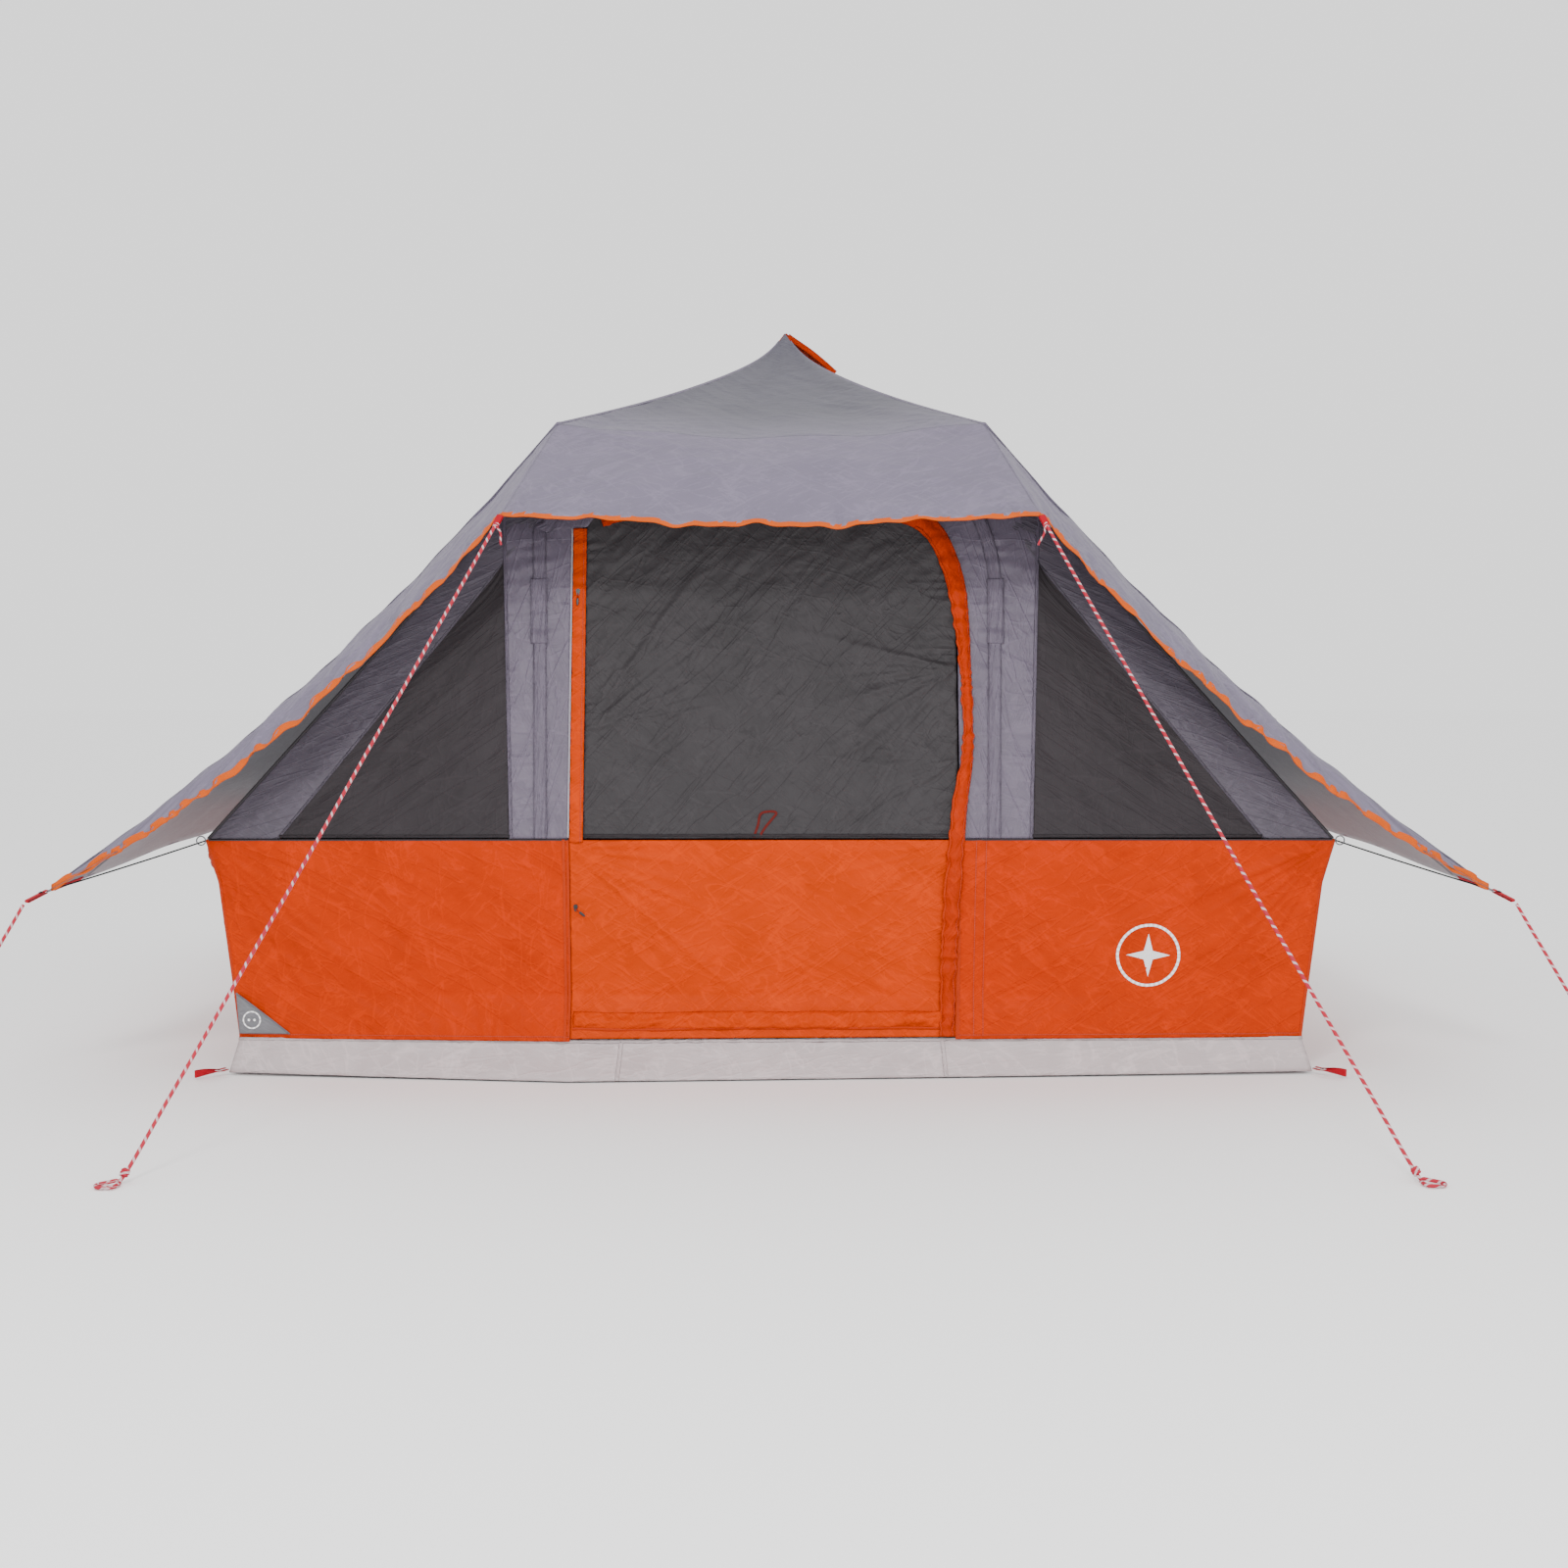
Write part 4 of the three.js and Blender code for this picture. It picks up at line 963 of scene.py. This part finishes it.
def front_upper(m, side, sx):
    def door_edge(z):
        if side == "left":
            return np.where(z > 1757, 597 - np.clip((z - 1757) / 49, 0, 1) * 37, 646)
        return 599 - np.clip((z - 1560) / 245, 0, 1) ** 2 * 118

    def half(outer, inner, bottom, top, columns, rows):
        points = wall_grid(lambda z: -outer(z), lambda z: -inner(z), bottom, top, columns, rows)
        points[..., 0] *= -sx
        return points

    def strip_edge(z):
        return np.minimum(828 + 36 * up_window(z), seam_x(z))

    lilac = Panel(half(strip_edge, door_edge, 762, 1998, 30, 150), OUT[0])
    folds = creases(lilac.u, lilac.v, 81 + sx, 0.06, 0.005, 20, 2.0)
    for k, s in enumerate((0.45, 0.63)):
        at = s * lilac.u[-1:, :]
        folds += puckers(lilac.v, np.abs(lilac.u - at), 0.075, 0.0025, 0.03, 83 + k)
    folds += puckers(lilac.v, lilac.u, 0.07, 0.003, 0.03, 86)
    lilac.fold(folds, 1, 2)
    lilac.build(f"door_side_panel_{side}", m["lilac"], replaces=[f"front_panel_{side}"])
    on_panel(f"pole_sleeve_{side}", lilac, [(0.53, 0.0), (0.53, 0.99)], 0.044, m["lilac"], lift=0.0035,
             thick=0.002, count=160)
    on_panel(f"sleeve_patch_{side}", lilac, [(0.52, 0.50), (0.52, 0.67)], 0.056, m["lilac"], lift=0.0050,
             thick=0.002, count=40)
    edge_band(f"window_seam_{side}", lilac, "s0", 0.012, m["lilac"], thick=0.004)

    def seam_edge(z):
        return seam_x(z) - 2

    def band_edge(z):
        return np.minimum(window_line(z), seam_x(z) - 4)

    band = Panel(half(seam_edge, band_edge, 762, 1812, 22, 110), OUT[0])
    band.fold(creases(band.u, band.v, 91 + sx, 0.07, 0.004, 60, 2.4), 3, 2)
    band.build(f"front_gusset_{side}", m["purple"])
    centre, normal = band.at(np.zeros(90), np.linspace(0, 1, 90), 0.002)
    across = np.cross(normal, np.gradient(centre, axis=0))
    sweep(f"side_piping_{side}", centre, across, 0.010, 0.008, m["piping"])

    def net_edge(z):
        return np.maximum(window_line(z), strip_edge(z) + 2)

    net = Panel(half(net_edge, strip_edge, WINDOW_FOOT, WINDOW_HEAD, 60, 80), OUT[0])
    u, v = net.u, net.v
    folds = creases(u, v, 95 + sx, 0.13, 0.008, 80, 2.4) + creases(u, v, 98, 0.045, 0.004, -60, 3)
    folds += pull(u, v, (0.0, 0.02), (0.5, 0.5), 5, 50, 0.7, 0.02, 0.006, 97)
    net.fold(folds, 3, 3, 0.003)
    net.build(f"window_net_{side}", m["net"], replaces=[f"front_window_{side}"])
    edge_band(f"window_binding_{side}", net, "s0", 0.008, m["purple"], thick=0.003)
    on_panel(f"window_foot_{side}", net, [(0, 0.006), (1, 0.006)], 0.010, m["net"], thick=0.003)


def header(m):
    panel = Panel(wall_grid(constant(-559), constant(480), 1804, 1998, 80, 20, -1), OUT[0])
    panel.fold(creases(panel.u, panel.v, 99, 0.08, 0.003, 10, 2), 3, 2)
    panel.build("header_cloth", m["lilac"], replaces=["door_header"])


def upper_rest(m):
    left, right = mirror(INNER_SHOULDER, -1, -1), mirror(INNER_SHOULDER, 1, -1)
    s = np.linspace(0, 1, 60)[:, None]

    def towards_peak(edge):
        r = np.linspace(0.03, 1, 40)[None, :, None]
        return INNER_PEAK + (edge[:, None] - INNER_PEAK) * r

    roof = Panel(towards_peak(left + (right - left) * s), (0, -0.3, 1))
    roof.fold(creases(roof.points[..., 0], roof.v, 101, 0.15, 0.006), 3, 3, 0.006)
    roof.build("inner_roof_cloth", m["purple"], replaces=["inner_roof_front"])
    corner = np.array([1786.0, 1786.0, 762.0])
    rear = Panel(towards_peak(corner + (mirror(corner, -1) - corner) * s), (0, 1, 0.8))
    rear.fold(creases(rear.points[..., 0], rear.v, 103, 0.18, 0.008), 3, 3, 0.006)
    rear.build("upper_wall_rear_cloth", m["purple"], replaces=["upper_wall_rear"])
    for name, sx, shoulder in (("left", -1, left), ("right", 1, right)):
        front, back = mirror(corner, sx, -1), mirror(corner, sx)
        edge = np.vstack([shoulder + (front - shoulder) * s[:-1], front + (back - front) * s])
        panel = Panel(towards_peak(edge), (sx, 0, 0.8))
        panel.fold(creases(panel.points[..., 1] + 2, panel.v, 105, 0.18, 0.008), 3, 3, 0.006)
        panel.build(f"upper_wall_{name}_cloth", m["purple"], replaces=[f"upper_wall_{name}"])


CORNER_LIFT = 5  # how far the tray's corners are off the ground


def tray(m):
    """The groundsheet: a floor with four low walls, its top edge a little wavy."""
    z = np.linspace(4, TRAY_TOP, 10)
    s = np.linspace(-1, 1, 220)[:, None]
    half = half_width(z)[None]
    x = s * half
    depth = np.where(np.abs(s) > 0.995, half, half - 3 * (1 - s**4))
    lift = CORNER_LIFT * np.abs(s) ** 3 * (1 - z[None] / TRAY_TOP)
    whole = np.stack([x, -depth - 0 * x, z[None] + lift], 2)
    for quarter, name in enumerate(("front", "right", "rear", "left")):
        own = bowed(whole.copy()) if quarter == 0 else whole
        panel = Panel(around(own, quarter), OUT[quarter])
        u, v = panel.u, panel.v
        folds = creases(u, v, 110 + quarter, 0.09, 0.006, 50, 2.0)
        folds += puckers(u, v, 0.4, 0.003, 0.08, 112 + quarter)
        folds += puckers(u, 0.12 - v, 0.16, 0.002, 0.04, 113)
        wide = float(u.max())
        corner = np.exp(-u / 0.11) + np.exp(-(wide - u) / 0.11)
        folds += creases(u, v, 116 + quarter, 0.035, 0.016, 75, 2.5) * corner
        panel.fold(folds, 2, 1, 0.001)
        replaced = ["groundsheet"] if quarter == 0 else ()
        panel.build(f"tray_wall_{name}", m["tray"], replaces=replaced)
        on_panel(f"tray_seam_{name}", panel, [(0, 0.93), (1, 0.93)], 0.010, m["tray"], lift=0.0016,
                 thick=0.002, count=200)
        for k, t in enumerate((0.36, 0.66)):
            on_panel(f"tray_join_{name}_{k}", panel, [(t, 0), (t, 1)], 0.014, m["tray"], lift=0.001, count=12)
    half = 1736
    side = np.linspace(-half, half, 90)
    gx, gy = np.meshgrid(side, side, indexing="ij")
    raised = 3 + CORNER_LIFT * np.abs(gx / half) ** 3 * np.abs(gy / half) ** 3
    floor = Panel(np.stack([gx, gy, raised], 2), (0, 0, 1))
    floor.move(np.clip(creases(floor.u, floor.v, 120, 0.25, 0.004, 30, 2), -0.001, 0.002))
    floor.build("tray_floor", m["tray"], held="laid")


# ---------------- door

def door(m):
    def right_edge(z):
        high = np.clip((z - 1560) / 245, 0, 1)
        return DOOR_RIGHT - 119 * high**2

    lower = Panel(wall_grid(constant(DOOR_LEFT), constant(DOOR_RIGHT - 2), 123, 757, 190, 100), OUT[0])
    u, v = lower.u, lower.v
    wide = float(u.max())
    half = np.clip((u - 0.5 * wide) / 0.05, 0, 1)
    folds = pull(u, v, (0, 0.62), (0.8, 0.45), 8, 70, 0.9, 0.012, 0.012, 131)
    for angle, side in ((32, 1 - half), (-30, half)):
        folds += creases(u, v, 130, 0.10, 0.008, angle, 3.6) * side
        folds += creases(u, v, 133, 0.032, 0.0065, angle, 7) * side
    folds += pull(u, v, (wide, 0.62), (0.4, 0.3), 7, 70, 0.8, 0.012, 0.010, 132)
    folds += puckers(v, u, 0.045, 0.004, 0.03, 134) + puckers(v, wide - u, 0.05, 0.005, 0.05, 135)
    lower.fold(folds, 4, 5, 0.001)
    lower.build("door_lower_cloth", m["door_orange"], "door", ["door_lower_panel"])

    window = Panel(wall_grid(constant(STRIP_RIGHT), right_edge, DOOR_WINDOW_FOOT, DOOR_WINDOW_HEAD, 150, 170),
                   OUT[0])
    u, v = window.u, window.v
    wide = float(u[:, 0].max())
    folds = creases(u, v, 140, 0.11, 0.010, 50, 3.6) + creases(u, v, 143, 0.05, 0.007, 35, 2.8)
    folds += creases(u, v, 147, 0.028, 0.0045, 46, 4)
    folds += pull(u, v, (0, 0.35), (0.8, 0.9), 9, 60, 0.9, 0.012, 0.009, 141)
    folds += pull(u, v, (wide, 0.55), (0.3, 0.3), 9, 70, 0.8, 0.012, 0.010, 142)
    folds += pull(u, v, (wide, 0.25), (0.4, 0.15), 6, 60, 0.6, 0.012, 0.008, 145)
    folds += puckers(v, u, 0.06, 0.004, 0.03, 144) + puckers(v, wide - u, 0.07, 0.006, 0.05, 146)
    window.fold(folds, 2, 2, 0.003)
    window.build("door_window_cloth", m["door_net_painted_light"], "door", ["door_window_panel"])
    on_panel("door_window_stitch", window, [(0, 0.008), (1, 0.008)], 0.010, m["net"], "door", thick=0.003)

    loop = [(-55, 766), (-42, 805), (-34, 838), (-8, 846), (16, 842), (2, 822), (-18, 798), (-38, 767)]
    tall = DOOR_WINDOW_HEAD - DOOR_WINDOW_FOOT
    places = [((x - STRIP_RIGHT) / (right_edge(z) - STRIP_RIGHT), (z - DOOR_WINDOW_FOOT) / tall, 0)
              for x, z in loop]
    route = smooth_path(places, 60)[:, :2]
    # the tie loop takes the red cord's painted shade
    on_panel("door_tie_loop", window, route, 0.008, m["red_cord_painted_shade"], "door", thick=0.002)

    strip = Panel(wall_grid(constant(DOOR_LEFT), constant(STRIP_RIGHT), 750, 1753, 14, 200, 1.5), OUT[0])
    folds = puckers(strip.v, strip.u, 0.05, 0.0035, 0.03, 150)
    folds += puckers(strip.v, 0.043 - strip.u, 0.07, 0.003, 0.02, 151)
    folds += 0.004 * np.sin(np.pi * strip.u / 0.043)
    strip.move(folds)
    strip.build("door_strip_cloth", m["door_orange"], "door", ["door_edge_strip"])
    on_panel("door_strip_stitch", strip, [(0.8, 0), (0.8, 1)], 0.003, m["thread_orange"], "door", count=160)

    t, w = fractions(240, 14)
    start, end = -632, 548
    x = start + (end - start) * t + 0 * w
    wander = 5 * (value_noise(t * 9, t * 0, 160) - 0.5)
    z = 152 + 52 * w + wander
    y = -(front_depth(z) + 2 + 11 * np.sin(np.pi * w))
    gather = Panel(bowed(np.stack([x, y, z], 2)), OUT[0])
    folds = creases(gather.u, gather.v, 161, 0.035, 0.020, 9, 4)
    folds += creases(gather.u, gather.v, 162, 0.03, 0.014, 70, 1.6)
    gather.fold(folds, 2, 2)
    gather.build("door_foot_gather", m["door_orange"], "door", sheet=False)
    on_panel("door_foot_piping", gather, [(0, 0.0), (1, 0.0)], 0.012, m["orange_tape"], "door", thick=0.006,
             count=200)
    add_zips(m)


def zip_flap(m):
    """The puckered orange rain flap over the zip: up the door's right edge and across its top."""
    route = [
        (562, 126, 48), (563, 220, 50), (566, 340, 53), (571, 500, 54), (579, 640, 52), (590, 780, 50),
        (602, 890, 46), (620, 980, 33), (628, 1060, 28), (628, 1180, 34), (622, 1320, 46), (612, 1450, 58),
        (598, 1560, 62), (571, 1655, 66), (526, 1742, 64), (446, 1797, 54), (300, 1815, 46), (60, 1815, 46),
        (-200, 1815, 46), (-400, 1811, 44), (-500, 1790, 40), (-548, 1774, 32),
    ]
    count = 420
    path = smooth_path([(x, 0, z) for x, z, _ in route], count)
    stations = np.linspace(0, 1, len(route))
    width = np.interp(np.linspace(0, 1, count), stations, [w for *_, w in route])
    tangent = unit(np.gradient(path, axis=0))
    across = np.stack([tangent[:, 2], np.zeros(count), -tangent[:, 0]], 1)
    w = np.linspace(-0.5, 0.5, 15)[None, :, None]
    points = path[:, None] + across[:, None] * width[:, None, None] * w
    crown = 13 * np.cos(np.pi * w[..., 0]) + 2
    points[..., 1] = -(front_depth(points[..., 2]) + 5 + crown)
    flap = Panel(bowed(points), OUT[0])
    away = np.abs(w[..., 0]) * 0.05
    folds = puckers(flap.u, 0.03 - away, 0.060, 0.006, 0.03, 171)
    folds += creases(flap.u, flap.v, 172, 0.028, 0.013, 25, 2)
    flap.fold(folds, 2, 1)
    flap.build("zip_flap_cloth", m["flap_orange"], "tent", ["door_zip_flap"], held="gathered")
    on_panel("zip_flap_piping", flap, [(0, 0.1), (0.62, 0.1)], 0.009, m["orange_tape"], thick=0.006,
             count=260)
    on_panel("zip_flap_stitch", flap, [(0, 0.86), (0.62, 0.86)], 0.003, m["thread_orange"], count=260)


def add_zips(m):
    """The zip's tape up the left side of the door, and its two pulls."""
    upper = wall_grid(constant(-647), constant(-641), 764, 1755, 4, 120, 1.5)
    Panel(upper, OUT[0]).build("zip_tape_upper", m["tape"], sheet=False)
    lower = wall_grid(constant(-651), constant(-641), 130, 757, 4, 100, 1.5)
    Panel(lower, OUT[0]).build("zip_tape_lower", m["orange_tape"], sheet=False)
    for name in ("upper", "lower"):
        low, high = (np.array(p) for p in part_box(f"zip_{name}_pull"))
        top = np.array([(low[0] + high[0]) / 2, high[1] - 0.003, high[2] - 0.001])
        foot = np.array([top[0] + (0.030 if name == "lower" else -0.001), low[1] + 0.001, low[2] + 0.001])
        foot[2] += 0.016 if name == "lower" else 0
        t = np.linspace(0, 1, 30)[:, None]
        run = top + (foot - top) * t
        body = f"{name}_pull"
        for k, dx in enumerate((-0.0015, 0.0015)):
            strand = run[:16] + np.array([dx, 0, 0]) * np.sin(np.pi * np.linspace(0, 1, 16))[:, None]
            sweep(f"zip_{name}_cord_{k}", strand, (1.0, 0, 0), 0.0018, 0.0018, m["red_cord"], body)
        grip = run[12:]
        fat = 0.005 + 0.0035 * np.sin(np.pi * np.linspace(0.1, 1, len(grip)))
        piece = sweep(f"zip_{name}_grip", grip, (1.0, 0, 0), fat, 0.0035, m["black"], body)
        stand_in(piece, f"zip_{name}_pull")


def cable_port(m):
    """The grey corner flap over the cable inlet, with a plain ring and two dots printed on it."""
    foot, tall, wide, left = 131, 132, 163, -1706

    def edges(t):
        """The flap's left edge, which leans out with the wall, and its width, a fraction t of the way up."""
        return left - 6 * t, wide * (1 - t) + 1.5

    s, t = fractions(30, 30)
    z = foot + tall * t + 0 * s
    start, across = edges(t)
    x = start + across * s
    flap = Panel(bowed(np.stack([x, -(front_depth(z) + 6), z], 2)), OUT[0])
    flap.fold(creases(flap.u, flap.v, 180, 0.06, 0.0015, 40, 2), 3, 3)
    flap.build("cable_port_cloth", m["patch"], "cable_flap", ["cable_port_flap"])
    edge_band("cable_port_hem", flap, "s1", 0.006, m["tip_patch"], "cable_flap", thick=0.002)

    def spot(dx, dz):
        """A point of the flap, from the middle of the printed ring."""
        t = (176 + dz - foot) / tall
        start, across = edges(t)
        return flap.at(np.atleast_1d((-1664 + dx - start) / across), np.atleast_1d(t), 0.0012)[0]

    angle = np.linspace(0, 2 * np.pi, 49)
    ring = np.vstack([spot(27 * math.cos(a), 27 * math.sin(a)) for a in angle])
    sweep("cable_port_ring", ring, spot(0, 0) - ring, 0.0045, 0.0006, m["print"], "cable_flap")
    for k, dx in enumerate((-9, 9)):
        dot = np.vstack([spot(dx + 2.2 * math.cos(a), 2.2 * math.sin(a)) for a in angle])
        sweep(f"cable_port_dot_{k}", dot, spot(dx, 0) - dot, 0.0042, 0.0006, m["print"], "cable_flap")


# ---------------- webbing, poles and the rest

def bar_tack(name, centre, along, across, m):
    """A dense zigzag of stitches that holds a loop down."""
    t = np.linspace(0, 1, 41)[:, None]
    zig = np.where(np.arange(41) % 2 == 0, -0.5, 0.5)[:, None]
    path = centre + np.array(along) * (t - 0.5) * 0.010 + np.array(across) * zig * 0.018
    sweep(name, path, along, 0.0014, 0.0014, m["piping"])


def webbing_ring(name, centre, along, across, length, m, widths=(0.020, 0.020), twist=0.0):
    """Webbing that runs out, turns round and comes back: the loop that a peg or a rope goes through."""
    along, across = unit(np.array(along, float)), unit(np.array(across, float))
    up = np.cross(along, across)
    angle = np.linspace(-np.pi / 2, np.pi / 2, 14)
    r = 0.0035
    straight = np.linspace(0, length - r, 14)
    d = np.concatenate([straight, length - r + r * np.cos(angle), straight[:0:-1]])
    h = np.concatenate([np.full(14, -r), r * np.sin(angle), np.full(13, r)])
    share = np.clip(d / length, 0, 1)
    turn = twist * np.clip(share * 1.6 - 0.3, 0, 1)[:, None]
    width = np.interp(share, (0, 1), widths)
    side = across * np.cos(turn) + up * np.sin(turn)
    over = up * np.cos(turn) - across * np.sin(turn)
    lift = np.sin(turn[:, 0]) * width / 2
    path = np.array(centre) + along * d[:, None] + over * h[:, None] + up * np.abs(lift)[:, None]
    return sweep(name, path, side, width, 0.0022, m["webbing"])


def add_webbing(m):
    for side, sx in SIDES:
        for end, sy in ENDS:
            name = f"peg_loop_{end}_{side}"
            way = np.array([sx, sy, -0.19]) / 1.43
            cross = np.array([-sy, sx, 0]) / math.sqrt(2)
            start = mirror(np.array([1740, 1740, 22]), sx, sy) / 1000
            turn = 1.35 * sx * sy
            ring = webbing_ring(name + "_webbing", start, way, cross, 0.118, m, (0.012, 0.024), turn)
            stand_in(ring, name)
            bar_tack(name + "_tack", start + way * 0.035 + (0, 0, 0.0046), way, cross, m)
            tip = mirror(TIP, sx, sy) / 1000
            down = mirror(np.array([0.62, 0.62, -0.36]), sx, sy)
            cross = np.cross(down, (0, 0, 1.0))
            ring = webbing_ring(f"tip_loop_{end}_{side}_webbing", tip - down * 0.012, down, cross, 0.074, m)
            stand_in(ring, f"tip_loop_{end}_{side}")
            bar_tack(f"tip_tack_{end}_{side}", tip + down * 0.012 + (0, 0, 0.006), down, cross / 0.88, m)
        corner = mirror(CANOPY_CORNER, sx, -1) / 1000
        way = np.array([0.012 * sx, -0.018, -0.028])
        ring = webbing_ring(f"canopy_loop_{side}_webbing", corner, way, (1.0, 0.1 * sx, 0), 0.036, m)
        stand_in(ring, f"canopy_loop_{side}")
        spot = np.array([sx * 1.800, -1.800, 0.757])
        loop = [spot + np.array([sx * 0.014 * math.cos(a), -0.002, 0.014 * math.sin(a)])
                for a in np.linspace(0, 2 * np.pi, 25)]
        sweep(f"corner_toggle_{side}", loop, (0, 1.0, 0), 0.006, 0.004, m["patch"])


def dress_cad(m):
    """Materials for the CAD nodes that show as they are."""
    looks = {"pole_steel": "steel", "foot_rubber": "rubber", "black_plastic": "black"}
    for name, node in frame["nodes"].items():
        look = looks.get(SLOTS[name])
        if look:
            node.data.materials.clear()
            node.data.materials.append(m[look])


# ---------------- floor and light

def add_stage():
    mesh = bpy.data.meshes.new("floor")
    size = 60
    corners = [(x * size, y * size, -0.002) for x, y in ((-1, -1), (1, -1), (1, 1), (-1, 1))]
    mesh.from_pydata(corners, [], [(0, 1, 2, 3)])
    floor = bpy.data.objects.new("floor", mesh)
    bpy.context.scene.collection.objects.link(floor)
    n = Nodes("floor", 0.9)
    n.shader.inputs["Base Color"].default_value = (0.97, 0.97, 0.97, 1)
    mesh.materials.append(n.material)


def area_light(name, place, target, size, power):
    data = bpy.data.lights.new(name, "AREA")
    data.shape = "DISK"
    data.size = size
    data.energy = power
    light = bpy.data.objects.new(name, data)
    light.location = place
    light.rotation_euler = (Vector(target) - Vector(place)).to_track_quat("-Z", "Y").to_euler()
    bpy.context.scene.collection.objects.link(light)


def add_light():
    world = bpy.data.worlds.new("studio")
    world.use_nodes = True
    background = world.node_tree.nodes["Background"]
    background.inputs["Color"].default_value = (1, 1, 1, 1)
    background.inputs["Strength"].default_value = 1.5
    bpy.context.scene.world = world
    area_light("key", (-1.2, -8.8, 5.8), (0, 0, 1), 1.4, 290)
    area_light("fill", (1.5, -10, 2.4), (0, 0, 1.3), 4, 240)


def main():
    add_camera()
    m = make_materials()
    add_ropes(m)
    add_flysheet(m)
    lower_walls(m)
    for side, sx in SIDES:
        front_upper(m, side, sx)
    header(m)
    upper_rest(m)
    tray(m)
    door(m)
    zip_flap(m)
    cable_port(m)
    add_webbing(m)
    dress_cad(m)
    add_stage()
    add_light()


main()
